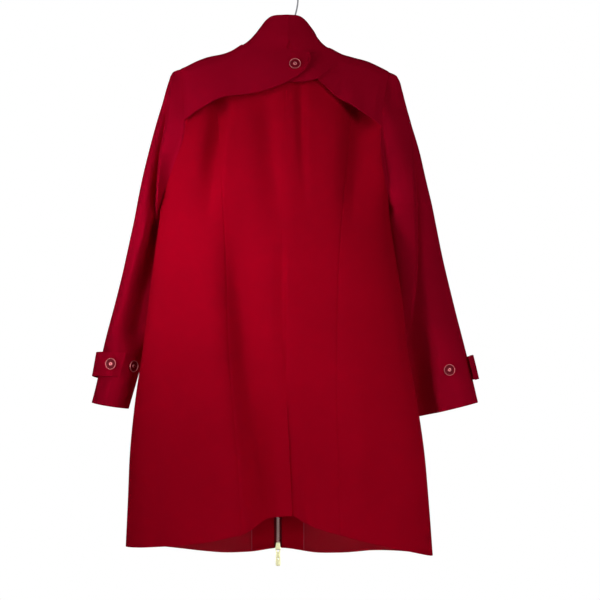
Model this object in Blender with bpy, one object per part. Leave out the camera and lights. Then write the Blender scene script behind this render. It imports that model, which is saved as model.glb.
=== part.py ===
# A car coat on a hanger, hanging from the top of the hook.
# Sizes are millimetres and become metres when a mesh is made.
# Origin where the rod carries the hook; +X to the wearer's right, -Y behind the back, +Z up.
# A "drop" is a height measured downwards from the origin.

import math
from collections import namedtuple

import bmesh
import bpy
import numpy as np
from mathutils import Matrix, Vector

MM = 0.001
BACK, FRONT = -1, 1
LEFT, RIGHT = -1, 1

# Walls and clearances
WALL = 2.0
FLAP_WALL = 2.6
COLLAR_WALL = 3.0
TAB_WALL = 2.0
FACING_WALL = 1.0
SEAM_GAP = 0.3

# Body
UNDERARM_DROP = 381.0
CAP_ROWS = 10
CAP_ROW_POWER = 2.2
SKIRT_ROWS = 14
SHOULDER_RADIUS = 8.0
SHOULDER_FALL = 150.0
SHOULDER_POWER = 1.8
FACE_POWER = {BACK: 2.3, FRONT: 1.7}
NECK_LEFT, NECK_RIGHT = -78.0, 70.0
NECK_DIP = {BACK: 13.0, FRONT: 72.0}
NECK_POWER = {BACK: 1.0, FRONT: 0.75}
VENT_TOP = 705.0
VENT_UNDERLAP = 34.0
VENT_DIP = 2.8

# Sleeves
SLEEVE_COLUMNS = 24
SLEEVE_ROWS = 13
UNDERARM_EASE = 0.8
CUFF_DROP = {LEFT: (723.0, 734.0), RIGHT: (723.0, 749.0)}  # outer edge, inner edge

# Buttons
BUTTON_RADIUS = 10.0
BUTTON_SHANK = 1.0
BUTTON_SEGMENTS = 16

# Zip: distances from the middle of its tape
ZIP_SLOT = 5.5
TAPE_EDGE, TAPE_WIDTH, TAPE_HALF = 3.4, 16.0, 0.4
CHAIN_HALF_WIDTH, CHAIN_HALF = 3.0, 1.2
TAPE_BEHIND_WALL = 1.1
SLIDER_HALF_WIDTH, SLIDER_HALF_HEIGHT = 5.0, 7.0
SLIDER_PLATE = (1.4, 2.8)
BRIDGE_FRONT = (5.8, 7.0)
BRIDGE_HALF_WIDTH = 1.5
BRIDGE_LEG = (3.0, 4.5)
PULL_AXIS_OUT, PULL_AXIS_DOWN = 4.3, 2.0
PULL_LENGTH, PULL_HALF_WIDTH, PULL_HALF = 34.0, 4.5, 0.7
FACING_INNER, FACING_OUTER = 7.0, 47.0

# Hanger
BAR_HALF_WIDTH = 5.0
BAR_CLEARANCE = 1.0
BAR_NECK_RELIEF = 5.0
BAR_ENDS = (-176.0, 166.0)
HOOK_WIRE_RADIUS = 1.5
HOOK_INNER_RADIUS = 16.0
HOOK_TIP_ANGLE = 178.0


class Table:
    """Rows of sizes under named columns; at() reads a smooth curve through one of them."""

    def __init__(self, columns, *rows):
        self.names = columns.split()
        self.rows = np.array(sorted(rows), float)

    def at(self, column, where):
        x = self.rows[:, 0]
        y = self.rows[:, self.names.index(column)]
        slope = np.gradient(y, x)
        where = np.clip(where, x[0], x[-1])
        k = np.clip(np.searchsorted(x, where) - 1, 0, len(x) - 2)
        span = x[k + 1] - x[k]
        t = (where - x[k]) / span
        bend = (1 - t) ** 2 * t * slope[k] - t**2 * (1 - t) * slope[k + 1]
        return y[k] + (y[k + 1] - y[k]) * t * t * (3 - 2 * t) + span * bend


BODY = Table(
    "drop left right back front side",
    (90, -214, 212, -54, 52, 0),
    (150, -214, 210, -58, 58, -1),
    (195, -216, 206, -61, 62, -2),
    (240, -219, 198, -63, 66, -3),
    (285, -222, 188, -65, 69, -4),
    (335, -223, 181, -66, 72, -4),
    (381, -223, 177, -66, 74, -4),
    (455, -232, 186, -66, 77, -5),
    (543, -243, 200, -68, 80, -5),
    (630, -254, 214, -72, 83, -5),
    (718, -267, 228, -76, 85, -4),
    (805, -276, 238, -80, 87, -3),
    (893, -280, 246, -84, 88, -2),
    (1000, -285, 254, -88, 88, -2),
)

SHOULDER = Table(
    "across drop",
    (-205, 152),
    (-188, 139.2),
    (-178, 134.5),
    (-161, 126),
    (-143, 119),
    (-110, 112),
    (-92, 107),
    (-78, 100.5),
    (-40, 92),
    (-4, 90),
    (35, 92),
    (70, 103.5),
    (91, 112),
    (115, 119),
    (140, 126),
    (159, 134.7),
    (177, 144.5),
    (192, 157),
)

SEAM = Table(
    "drop back_left centre back_right zip",
    (90, -128, 0, 115, -4),
    (223, -122, -5, 108, -6),
    (289, -117, -8, 104, -7),
    (365, -113, -10, 97, -9),
    (455, -108, -11, 90, -10),
    (543, -105, -12, 86, -12),
    (630, -102, -9, 85, -13),
    (705, -96, -3, 85, -14),
    (767, -91, 1, 86, -15),
    (853, -84, 5, 88, -17),
    (935, -81, 9, 90, -18),
    (1000, -79, 12, 91, -18),
)

ARMHOLE = {
    LEFT: Table(
        "drop across",
        (139.2, -188),
        (152, -185),
        (195, -180.5),
        (232, -177.5),
        (265, -182),
        (288, -190),
        (325, -204),
        (357, -216),
        (381, -223),
    ),
    RIGHT: Table(
        "drop across",
        (144.5, 177),
        (158, 174),
        (195, 167),
        (239, 160.5),
        (282, 161),
        (313, 165),
        (351, 172),
        (381, 177),
    ),
}

HEM = {
    BACK: Table(
        "across drop",
        (-290, 973),
        (-246, 971),
        (-203, 967.5),
        (-151, 962),
        (-100, 952),
        (-65, 941),
        (-51, 931),
        (-38, 922),
        (-13, 917),
        (9, 916),
        (30, 927),
        (56, 938),
        (90, 948),
        (142, 962),
        (194, 974),
        (231, 983),
        (254, 989),
    ),
    FRONT: Table(
        "across drop",
        (-290, 973),
        (-240, 976),
        (-192, 982),
        (-157, 987),
        (-95, 992),
        (-68, 991),
        (-18, 984),
        (57, 992),
        (92, 991),
        (145, 986),
        (199, 985.5),
        (254, 989),
    ),
}

Fold = namedtuple("Fold", "face top_across top_drop low_across low_drop width depth")

# Troughs have a depth, ridges a negative one; a fold that runs out of the hem ends below it.
FOLDS = (
    Fold(BACK, -138, 190, -152, 440, 13, 9),
    Fold(BACK, -56, 165, -32, 400, 16, 8),
    Fold(BACK, 16, 155, 22, 360, 9, 4),
    Fold(BACK, 112, 190, 93, 430, 16, 8),
    Fold(BACK, -104, 460, -66, 1100, 22, 11),
    Fold(BACK, -20, 480, -14, 760, 13, 4),
    Fold(BACK, -222, 760, -240, 1150, 16, 5),
    Fold(BACK, -30, 730, -12, 1150, 20, -6),
    Fold(BACK, 30, 730, 34, 1150, 16, -5),
    Fold(BACK, 118, 620, 128, 1150, 24, -4),
    Fold(FRONT, -120, 260, -100, 620, 20, 7),
    Fold(FRONT, 96, 240, 80, 560, 18, 7),
    Fold(FRONT, -70, 640, -88, 1150, 24, -6),
    Fold(FRONT, 62, 640, 74, 1150, 24, -6),
)

SLEEVE = {
    LEFT: Table(
        "drop outer inner depth half_depth",
        (139.2, -188.6, -188, 0, 1),
        (142, -197.5, -188, 0, 5),
        (149, -204.5, -188, 0, 12),
        (158, -208, -188, 0, 18),
        (175, -213.5, -188, -2, 24),
        (195, -219, -188, -4, 29),
        (228, -229, -188, -6, 35),
        (280, -243, -192, -10, 40),
        (333, -255.5, -208, -12, 42),
        (381, -265, -223, -4, 42),
        (405, -270, -230, 5, 44),
        (430, -276, -232.5, 15, 46),
        (455, -282, -233, 24, 47),
        (500, -292.5, -234, 33, 48),
        (543, -303.5, -237, 36, 48),
        (630, -326, -252, 37, 48),
        (683, -336, -266, 36, 48),
        (735, -349, -281, 35, 49),
    ),
    RIGHT: Table(
        "drop outer inner depth half_depth",
        (144.5, 177.6, 177, 0, 1),
        (149, 187, 177, 0, 7),
        (158, 194, 175, 0, 14),
        (175, 199.5, 172, -2, 21),
        (195, 205, 168, -4, 26),
        (228, 215, 162, -6, 31),
        (280, 231, 161, -10, 36),
        (333, 243, 168, -12, 37),
        (381, 254.5, 177, -4, 36),
        (405, 260, 185, 5, 37),
        (430, 265.5, 188, 15, 38),
        (455, 271, 188, 24, 38),
        (500, 281.5, 189, 33, 38),
        (543, 292, 192, 36, 37),
        (630, 313, 205, 37, 36),
        (683, 325.5, 214, 37, 35),
        (750, 341, 226, 37, 35),
    ),
}

# The fold below each shoulder: a ridge along "across", a valley outside it
SLEEVE_CREASE = {
    LEFT: Table(
        "drop across depth",
        (155, -202, 0),
        (195, -205, 5),
        (245, -211, 9),
        (280, -219, 11),
        (315, -223, 10),
        (368, -226, 4),
        (400, -229, 0),
    ),
    RIGHT: Table(
        "drop across depth",
        (185, 206, 0),
        (217, 210, 6),
        (281, 214, 11),
        (351, 219, 12),
        (456, 223, 11),
        (526, 219, 7),
        (600, 206, 0),
    ),
}
CREASE_VALLEY, CREASE_RIDGE, CREASE_WIDTH = 12.0, 6.0, 12.0

# Top edge of the collar by its angle from the centre back, measured from COLLAR_CENTRE
COLLAR_CENTRE = -4.0
COLLAR_TOP = Table(
    "angle across out drop",
    (0, 0, -13, 45),
    (25, 21, -11, 46),
    (50, 33, -5, 52),
    (75, 44, 5, 64),
    (90, 51, 13, 73),
    (115, 57, 32, 91),
    (140, 44, 49, 106),
    (160, 24, 58, 114),
    (180, 0.4, 62, 118),
)
COLLAR_ROWS = 4
COLLAR_LIFT = {BACK: 1.6, FRONT: 0.6}
COLLAR_RAISE = 0.6
COLLAR_MEET = 0.4

# Lower edges of the storm flaps
FLAP_EDGE = {
    LEFT: Table(
        "across drop",
        (-190, 240),
        (-176, 232),
        (-152, 216),
        (-126, 202),
        (-92, 194),
        (-65, 189),
        (-39, 183),
        (-13, 174),
        (6, 165),
        (21, 155),
        (31, 144),
        (36, 131),
        (37.5, 121),
    ),
    RIGHT: Table(
        "across drop",
        (-46, 126),
        (-34, 144),
        (-13, 158),
        (4, 165),
        (21, 167),
        (38, 166),
        (52, 164),
        (60, 170),
        (82, 191),
        (108, 208),
        (134, 223),
        (163, 242),
        (180, 252),
    ),
}
FLAP_END = {LEFT: 37.0, RIGHT: -45.0}
FLAP_HANG = {LEFT: 4.0, RIGHT: 2.5}
FLAP_LIFT = 1.0
FLAP_COLUMNS, FLAP_ROWS = 14, 8
FLAP_STEP = ((52.0, 164.0), (92.0, 127.0))
FLAP_STEP_HEIGHT, FLAP_STEP_REACH = 4.5, 40.0

# Cuff tabs: angles round the sleeve from its inner edge over the back, place down the sleeve
Tab = namedtuple("Tab", "end end_along outer_along root half_height end_lift outer_lift")
TAB = {
    LEFT: Tab(80.0, 0.785, 0.81, 300.0, 21.0, 0.8, 9.0),
    RIGHT: Tab(155.0, 0.825, 0.825, 325.0, 21.0, 7.0, 9.5),
}
TAB_COLUMNS = 12
SPARE_BUTTON = {LEFT: (50.0, 0.79), RIGHT: (107.0, 0.81)}
TAB_BUTTON_ANGLE = {LEFT: 108.0, RIGHT: 212.0}
FLAP_BUTTON = (12.3, 138.0)

COLOURS = {
    "coat cloth": ((0.30, 0.004, 0.016), 0.75, 0.0),
    "collar cloth": ((0.28, 0.004, 0.015), 0.75, 0.0),
    "facing cloth": ((0.22, 0.003, 0.012), 0.7, 0.0),
    "button gold": ((0.60, 0.42, 0.18), 0.35, 0.9),
    "zip tape": ((0.10, 0.003, 0.008), 0.85, 0.0),
    "zip metal": ((0.62, 0.55, 0.42), 0.35, 1.0),
    "hanger plastic": ((0.02, 0.02, 0.022), 0.5, 0.0),
    "hook steel": ((0.20, 0.20, 0.21), 0.35, 1.0),
}


def unit(v):
    return v / np.maximum(np.linalg.norm(v, axis=-1, keepdims=True), 1e-9)


def ease(t):
    t = np.clip(t, 0.0, 1.0)
    return t * t * (3 - 2 * t)


def mix(a, b, t):
    return a + (b - a) * t


def material(name):
    if name in bpy.data.materials:
        return bpy.data.materials[name]
    colour, roughness, metallic = COLOURS[name]
    made = bpy.data.materials.new(name)
    made.use_nodes = True
    shader = made.node_tree.nodes["Principled BSDF"]
    shader.inputs["Base Color"].default_value = (*colour, 1.0)
    shader.inputs["Roughness"].default_value = roughness
    shader.inputs["Metallic"].default_value = metallic
    made.diffuse_color = (*colour, 1.0)
    return made


def add_object(name, points, faces, material_name, place=None):
    mesh = bpy.data.meshes.new(name)
    mesh.from_pydata([tuple(p) for p in np.asarray(points) * MM], [], faces)
    bm = bmesh.new()
    bm.from_mesh(mesh)
    bmesh.ops.recalc_face_normals(bm, faces=bm.faces)
    bm.to_mesh(mesh)
    bm.free()
    made = bpy.data.objects.new(name, mesh)
    made.data.materials.append(material(material_name))
    if place is not None:
        made.matrix_world = place
    bpy.context.scene.collection.objects.link(made)
    return made


def add_wall(name, outer, inner, material_name, present=None, joined_from=None, place=None):
    """A closed wall between two grids of points; cells can be left out, and the last
    column can be joined to the first from one row on."""
    rows, columns = outer.shape[0] - 1, outer.shape[1] - 1
    number = np.arange((rows + 1) * (columns + 1)).reshape(rows + 1, columns + 1)
    if joined_from is not None:
        number[joined_from:, -1] = number[joined_from:, 0]
    if present is None:
        present = np.ones((rows, columns), bool)
    cells = []
    for r, c in zip(*np.nonzero(present)):
        cells.append((number[r, c], number[r, c + 1], number[r + 1, c + 1], number[r + 1, c]))
    edges = {}
    for cell in cells:
        for a, b in zip(cell, cell[1:] + cell[:1]):
            edges[frozenset((a, b))] = None if frozenset((a, b)) in edges else (a, b)
    used = sorted({v for cell in cells for v in cell})
    order = {v: i for i, v in enumerate(used)}
    count = len(used)
    points = np.concatenate([outer.reshape(-1, 3)[used], inner.reshape(-1, 3)[used]])
    faces = [[order[v] for v in cell] for cell in cells]
    faces += [[order[v] + count for v in reversed(cell)] for cell in cells]
    for edge in edges.values():
        if edge:
            a, b = order[edge[0]], order[edge[1]]
            faces.append([b, a, a + count, b + count])
    return add_object(name, points, faces, material_name, place)


def add_loft(name, rings, material_name):
    """A solid through rings of points, capped at both ends."""
    count, size = rings.shape[0], rings.shape[1]
    faces = [list(range(size)), [(count - 1) * size + i for i in range(size)]]
    for k in range(count - 1):
        for i in range(size):
            j = (i + 1) % size
            faces.append([k * size + i, k * size + j, (k + 1) * size + j, (k + 1) * size + i])
    return add_object(name, rings.reshape(-1, 3), faces, material_name)


def add_lathe(name, profile, segments, material_name, place):
    """A solid turned about Z from (radius, height) points that begin and end on the axis."""
    ring = [(math.cos(a), math.sin(a)) for a in np.linspace(0, 2 * math.pi, segments + 1)[:-1]]
    points = [(0, 0, profile[0][1])]
    points += [(r * x, r * y, h) for r, h in profile[1:-1] for x, y in ring]
    points.append((0, 0, profile[-1][1]))
    last = len(points) - 1
    faces = []
    for i in range(segments):
        j = (i + 1) % segments
        faces.append([0, 1 + j, 1 + i])
        for k in range(len(profile) - 3):
            low, high = 1 + k * segments, 1 + (k + 1) * segments
            faces.append([low + i, low + j, high + j, high + i])
        faces.append([last, last - segments + i, last - segments + j])
    return add_object(name, points, faces, material_name, place)


# The body's surface: "turn" runs from -1 at the left side seam to 1 at the right one


def turn_at(across, drop):
    left, right = BODY.at("left", drop), BODY.at("right", drop)
    share = (across - (left + right) / 2) / ((right - left) / 2)
    return np.arcsin(np.clip(share, -1, 1)) * 2 / math.pi


def across_at(turn, drop):
    left, right = BODY.at("left", drop), BODY.at("right", drop)
    return (left + right) / 2 + (right - left) / 2 * np.sin(turn * math.pi / 2)


def fold_push(face, across, drop):
    push = np.zeros(np.broadcast(across, drop).shape)
    for fold in FOLDS:
        if fold.face == face:
            along = (drop - fold.top_drop) / (fold.low_drop - fold.top_drop)
            middle = mix(fold.top_across, fold.low_across, np.clip(along, 0, 1))
            fade = ease(along / 0.25) * ease((1 - along) / 0.4)
            push = push + fold.depth * fade * np.exp(-(((across - middle) / fold.width) ** 2))
    return push


def body_points(face, turn, drop):
    across = across_at(turn, drop)
    side = BODY.at("side", drop)
    reach = np.abs(BODY.at("back" if face == BACK else "front", drop) - side)
    share = np.abs(np.sin(turn * math.pi / 2))
    power = FACE_POWER[face]
    full = reach * np.clip(1 - share**power, 0, 1) ** (1 / power)
    below = np.clip(drop - SHOULDER.at("drop", across), 0, None)
    rounded = SHOULDER_RADIUS * np.sqrt(1 - (1 - np.clip(below / SHOULDER_RADIUS, 0, 1)) ** 2)
    fallen = 1 - (1 - np.clip(below / SHOULDER_FALL, 0, 1)) ** SHOULDER_POWER
    out = rounded + (full - SHOULDER_RADIUS) * fallen
    out = out - fold_push(face, across, drop) * (1 - share**6) * ease(below / 40)
    return np.stack(np.broadcast_arrays(across, side * fallen + face * out, -drop), axis=-1)


def body_normals(face, turn, drop):
    step_turn, step_drop = 0.004, 0.6
    round_it = body_points(face, np.clip(turn + step_turn, -1, 1), drop)
    round_it = round_it - body_points(face, np.clip(turn - step_turn, -1, 1), drop)
    down_it = body_points(face, turn, drop + step_drop) - body_points(face, turn, drop)
    return unit(np.cross(round_it, down_it)) * face


def top_drop(face, across):
    centre, half = (NECK_LEFT + NECK_RIGHT) / 2, (NECK_RIGHT - NECK_LEFT) / 2
    share = np.clip(1 - ((across - centre) / half) ** 2, 0, 1)
    ends = mix(
        SHOULDER.at("drop", NECK_LEFT),
        SHOULDER.at("drop", NECK_RIGHT),
        np.clip((across - NECK_LEFT) / (2 * half), 0, 1),
    )
    neck = ends + NECK_DIP[face] * share ** NECK_POWER[face]
    inside = (across > NECK_LEFT) & (across < NECK_RIGHT)
    return np.where(inside, neck, SHOULDER.at("drop", across))


def seam_turn(column, offset=0.0):
    return lambda drop: turn_at(SEAM.at(column, drop) + offset, drop)


def edge_turn(side):
    return lambda drop: np.where(
        drop < UNDERARM_DROP, turn_at(ARMHOLE[side].at("across", drop), drop), side
    )


def settle(rule, start, shares):
    drop = np.full(len(shares), start)
    for _ in range(40):
        drop = mix(drop, rule(drop), 0.6)
    return drop


def body_grid(face, left, right, shares):
    """Turns and drops of a panel between two seams, top edge to hem."""

    def turn(drop):
        return mix(left(drop), right(drop), shares)

    top = settle(lambda drop: top_drop(face, across_at(turn(drop), drop)), 120.0, shares)
    low = settle(lambda drop: HEM[face].at("drop", across_at(turn(drop), drop)), 970.0, shares)
    cap = (np.arange(CAP_ROWS) / CAP_ROWS) ** CAP_ROW_POWER
    skirt = np.linspace(0, 1, SKIRT_ROWS + 1)
    drop = np.concatenate(
        [
            mix(top[None, :], UNDERARM_DROP, cap[:, None]),
            mix(UNDERARM_DROP, low[None, :], skirt[:, None]),
        ]
    )
    return np.stack([turn(row) for row in drop]), drop


def neck_share(left, right, across):
    drop = SHOULDER.at("drop", across)
    return float((turn_at(across, drop) - left(drop)) / (right(drop) - left(drop)))


def trim(grid, left=True, right=True, top=True):
    """Pulls a grid's edges in by half a seam's gap."""
    out = grid.copy()
    if left:
        out[:, 0] += unit(grid[:, 1] - grid[:, 0]) * SEAM_GAP / 2
    if right:
        out[:, -1] += unit(grid[:, -2] - grid[:, -1]) * SEAM_GAP / 2
    if top:
        out[0] += unit(grid[1] - grid[0]) * SEAM_GAP / 2
    return out


def panel_surface(face, turn, drop):
    points = body_points(face, turn, drop)
    normals = body_normals(face, turn, drop)
    across = points[0, :, 0]
    on_shoulder = (across <= NECK_LEFT + 0.5) | (across >= NECK_RIGHT - 0.5)
    normals[0, on_shoulder, 1] = 0.0
    return points, unit(normals)


def add_panel(name, face, turn, drop, sunk=0.0, wall=WALL, material_name="coat cloth"):
    points, normals = panel_surface(face, turn, drop)
    outer = trim(points - normals * sunk)
    inner = trim(points - normals * (sunk + wall))
    add_wall(name, outer, inner, material_name)
    return points, normals


def columns_to_neck(share, before, after):
    return np.concatenate([np.linspace(0, share, before + 1), np.linspace(share, 1, after + 1)[1:]])


def add_back():
    grids = {}
    for side, seam in ((LEFT, "back_left"), (RIGHT, "back_right")):
        word = "left" if side == LEFT else "right"
        ends = [edge_turn(side), seam_turn(seam)][::-side]
        turn, drop = body_grid(BACK, *ends, np.linspace(0, 1, 9))
        grids["side " + word] = (turn, drop) + add_panel("back_side_" + word, BACK, turn, drop)
    left, right = seam_turn("back_left"), seam_turn("centre")
    shares = columns_to_neck(neck_share(left, right, NECK_LEFT), 3, 5)
    turn, drop = body_grid(BACK, left, right, shares)
    grids["left"] = (turn, drop) + add_panel("back_centre_left", BACK, turn, drop)
    left, right = seam_turn("centre"), seam_turn("back_right")
    shares = columns_to_neck(neck_share(left, right, NECK_RIGHT), 5, 3)
    turn, drop = body_grid(BACK, left, right, shares)
    grids["right"] = (turn, drop) + add_vent_panel(turn, drop)
    return grids


def add_vent_panel(turn, drop):
    """The right centre panel; below the vent's top its edge dips and runs on under the left one."""
    points, normals = panel_surface(BACK, turn, drop)
    from_seam = points[:, :, 0] - points[:, :1, 0]
    dip = VENT_DIP * ease((drop - VENT_TOP) / 45) * ease(1 - from_seam / 26)
    outer = points - normals * dip[:, :, None]
    lap_drop = np.repeat(drop[:, :1], 2, axis=1)
    lap_across = SEAM.at("centre", lap_drop) - np.array([VENT_UNDERLAP, VENT_UNDERLAP / 2])
    lap_turn = turn_at(lap_across, lap_drop)
    lap_normals = body_normals(BACK, lap_turn, lap_drop)
    lap = body_points(BACK, lap_turn, lap_drop) - lap_normals * VENT_DIP
    whole = np.concatenate([lap, outer], axis=1)
    all_normals = np.concatenate([lap_normals, normals], axis=1)
    present = np.ones((whole.shape[0] - 1, whole.shape[1] - 1), bool)
    present[:, :2] = (drop[:-1, :1] >= VENT_TOP + 45) & present[:, :2]
    inner = whole - all_normals * WALL
    whole, inner = [trim(grid, left=False) for grid in (whole, inner)]
    inset = np.where(drop[:, 0] < VENT_TOP + 80, SEAM_GAP / 2, 0.0)[:, None]
    for grid in (whole, inner):
        grid[:, 2] += unit(grid[:, 3] - grid[:, 2]) * inset
    add_wall("back_centre_right", whole, inner, "coat cloth", present)
    return points, normals


def add_fronts():
    grids = {}
    for side, neck in ((LEFT, NECK_LEFT), (RIGHT, NECK_RIGHT)):
        word = "left" if side == LEFT else "right"
        outside, inside = edge_turn(side), seam_turn("zip", side * ZIP_SLOT)
        share = neck_share(outside, inside, neck)
        to_zip = 1 - np.cos(np.linspace(0, math.pi / 2, 7))[1:]
        shares = np.concatenate([np.linspace(0, share, 6), mix(share, 1, to_zip)])
        ends = [outside, inside][::-side]
        if side == RIGHT:
            shares = 1 - shares[::-1]
        turn, drop = body_grid(FRONT, *ends, shares)
        grids[word] = (turn, drop) + add_panel("front_" + word, FRONT, turn, drop)
        facing_ends = [seam_turn("zip", side * w) for w in (FACING_OUTER, FACING_INNER)][::-side]
        turn, drop = body_grid(FRONT, *facing_ends, np.linspace(0, 1, 4))
        drop = drop + np.linspace(3, -2, len(drop))[:, None]
        sunk = WALL + 2 * TAPE_BEHIND_WALL
        add_panel("front_facing_" + word, FRONT, turn, drop, sunk, FACING_WALL, "facing cloth")
    return grids


# Sleeves: sections open towards the armhole above the underarm and closed below it


def crease_push(side, across, drop):
    table = SLEEVE_CREASE[side]
    outside = (across - table.at("across", drop)) * side
    valley = np.exp(-(((outside - CREASE_VALLEY) / CREASE_WIDTH) ** 2))
    ridge = 0.35 * np.exp(-(((outside + CREASE_RIDGE) / CREASE_WIDTH) ** 2))
    return table.at("depth", drop) * (valley - ridge)


def oval(side, outer, inner, middle, half, opening, angle):
    """Points round one section: angle 0 at the inner edge, a quarter turn at the back."""
    half_width = np.abs(inner - outer) / (1 + np.cos(opening))
    centre = outer - side * half_width
    return centre - side * half_width * np.cos(angle), middle - half * np.sin(angle)


def sleeve_low(side, along, angle):
    """Points of the tube below the underarm, by share of its length and angle."""
    outer_drop = mix(UNDERARM_DROP, CUFF_DROP[side][0], along)
    inner_drop = mix(UNDERARM_DROP, CUFF_DROP[side][1], along)
    table = SLEEVE[side]
    outer, inner = table.at("outer", outer_drop), table.at("inner", inner_drop)
    middle_drop = (outer_drop + inner_drop) / 2
    depth, half = table.at("depth", middle_drop), table.at("half_depth", middle_drop)
    across, out = oval(side, outer, inner, depth, half, 0.0, angle)
    drop = mix(inner_drop, outer_drop, (across - inner) / (outer - inner))
    out = out + crease_push(side, across, drop) * np.sqrt(np.clip(np.sin(angle), 0, 1))
    return np.stack(np.broadcast_arrays(across, out, -drop), axis=-1)


def sleeve_spot(side, along, angle, lift):
    """A point above the sleeve's surface and the surface's normal there."""
    step = 0.01
    down = sleeve_low(side, along + step, angle) - sleeve_low(side, along - step, angle)
    round_it = sleeve_low(side, along, angle + step) - sleeve_low(side, along, angle - step)
    normal = unit(np.cross(down, round_it)) * side
    return sleeve_low(side, along, angle) + normal * np.asarray(lift)[..., None], normal


def sleeve_cap(side, drop):
    edge = edge_turn(side)(drop)
    ends = [body_points(face, edge, drop) for face in (BACK, FRONT)]
    half_chord = (ends[1][:, 1] - ends[0][:, 1]) / 2
    middle = (ends[1][:, 1] + ends[0][:, 1]) / 2
    table = SLEEVE[side]
    half = np.maximum(half_chord * 1.02 + 0.2, table.at("half_depth", drop))
    opening = np.arcsin(np.clip(half_chord / half, 0, 1))
    angle = np.linspace(opening, 2 * math.pi - opening, SLEEVE_COLUMNS + 1, axis=1)
    outer = table.at("outer", drop)
    columns = [v[:, None] for v in (outer, ends[0][:, 0], middle, half, opening)]
    across, out = oval(side, *columns, angle)
    level = np.repeat(drop[:, None], SLEEVE_COLUMNS + 1, axis=1)
    out = out + crease_push(side, across, level) * np.sqrt(np.clip(np.sin(angle), 0, 1))
    points = np.stack([across, out, -level], axis=-1)
    points[:, 0], points[:, -1] = ends
    return points


def add_sleeve(side, edge_drop):
    word = "left" if side == LEFT else "right"
    cap = sleeve_cap(side, edge_drop)
    along = np.linspace(0, 1, SLEEVE_ROWS + 1)[1:, None]
    angle = np.linspace(0, 2 * math.pi, SLEEVE_COLUMNS + 1)[None, :]
    points = np.concatenate([cap, sleeve_low(side, along, angle)])
    wrapped = np.concatenate([points[:, -2:-1], points, points[:, 1:2]], axis=1)
    round_it = (wrapped[:, 2:] - wrapped[:, :-2]).copy()
    round_it[:CAP_ROWS, 0] = points[:CAP_ROWS, 1] - points[:CAP_ROWS, 0]
    round_it[:CAP_ROWS, -1] = points[:CAP_ROWS, -1] - points[:CAP_ROWS, -2]
    normals = unit(np.cross(np.gradient(points, axis=0), round_it)) * side
    edge = edge_turn(side)(edge_drop[:CAP_ROWS])
    for column, face in ((0, BACK), (-1, FRONT)):
        normals[:CAP_ROWS, column] = body_normals(face, edge, edge_drop[:CAP_ROWS])
    normals[0] = (0, 0, 1)
    inner = points - normals * WALL
    trimmed = []
    for grid in (points, inner):
        low = grid[CAP_ROWS:].copy()
        low[0, :, 0] += side * SEAM_GAP
        cap = trim(grid[: CAP_ROWS + 1])[:CAP_ROWS]
        cap[:, :, 0] += side * UNDERARM_EASE * np.linspace(0.4, 1, CAP_ROWS)[:, None] ** 2
        trimmed.append(np.concatenate([cap, low]))
    add_wall("sleeve_" + word, *trimmed, "coat cloth", joined_from=CAP_ROWS)


# Collar, from the neckline that the panels leave


def neckline(back, front):
    """Points and normals of the neck's edge from the zip over the back to the zip again."""

    def stretch(grid, keep):
        return [part[0, keep] for part in grid[2:]]

    def middle(side):
        across = SEAM.at("zip", np.array([176.0])) + side * COLLAR_MEET
        drop = top_drop(FRONT, across)
        turn = turn_at(across, drop)
        return [body_points(FRONT, turn, drop), body_normals(FRONT, turn, drop)]

    pieces = [
        middle(LEFT),
        [part[::-1] for part in stretch(front["left"], slice(5, None))],
        stretch(back["left"], slice(4, None)),
        stretch(back["right"], slice(1, 6)),
        [part[::-1] for part in stretch(front["right"], slice(0, -6))],
        middle(RIGHT),
    ]
    return [np.concatenate([piece[k] for piece in pieces]) for k in (0, 1)]


def add_collar(back, front):
    base, normals = neckline(back, front)
    middle = len(base) // 2
    lift = mix(COLLAR_LIFT[FRONT], COLLAR_LIFT[BACK], ease((20 - base[:, 1]) / 30))
    base = base + normals * lift[:, None] + np.array([0, 0, COLLAR_RAISE])
    steps = np.arange(-middle, len(base) - middle)
    angle = 180 * np.abs(steps) / middle
    across = COLLAR_CENTRE + np.sign(steps) * COLLAR_TOP.at("across", angle)
    top = np.stack([across, COLLAR_TOP.at("out", angle), -COLLAR_TOP.at("drop", angle)], axis=-1)
    share = np.linspace(0, 1, COLLAR_ROWS + 1)[::-1, None, None]
    outer = mix(base[None], top[None], share)
    sideways = np.gradient(outer, axis=1)
    upward = outer[:-1] - outer[1:]
    upward = np.concatenate([upward, upward[-1:]])
    wall_normals = unit(np.cross(sideways, upward))
    inner = outer - wall_normals * COLLAR_WALL
    add_wall("collar", outer, inner, "collar cloth")


# Storm flaps, made from the back's points moved out


def flap_share(side, across, drop):
    top = top_drop(BACK, across)
    return np.clip((drop - top) / np.maximum(FLAP_EDGE[side].at("drop", across) - top, 1), 0, 1)


def flap_step(across, drop):
    (x0, d0), (x1, d1) = FLAP_STEP
    length = math.hypot(x1 - x0, d1 - d0)
    along = ((across - x0) * (x1 - x0) + (drop - d0) * (d1 - d0)) / length**2
    beyond = ((across - x0) * (d0 - d1) + (drop - d0) * (x1 - x0)) / length
    height = FLAP_STEP_HEIGHT * ease(1 - along)
    return height * np.exp(np.minimum(beyond, 0) / FLAP_STEP_REACH) * ease((2 - beyond) / 4)


def flap_lift(side, across, drop):
    lift = FLAP_LIFT + FLAP_HANG[side] * flap_share(side, across, drop) ** 2
    if side == RIGHT:
        return lift + flap_step(across, drop)
    under = flap_lift(RIGHT, across, drop) + FLAP_WALL + FLAP_LIFT + SEAM_GAP
    return lift + np.maximum(under - lift, 0) * ease((across + 86) / 26)


def flap_spot(side, across, drop, extra=0.0):
    turn = turn_at(across, drop)
    normals = body_normals(BACK, turn, drop)
    lift = flap_lift(side, across, drop) + extra
    return body_points(BACK, turn, drop) + normals * np.asarray(lift)[..., None], normals


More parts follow.
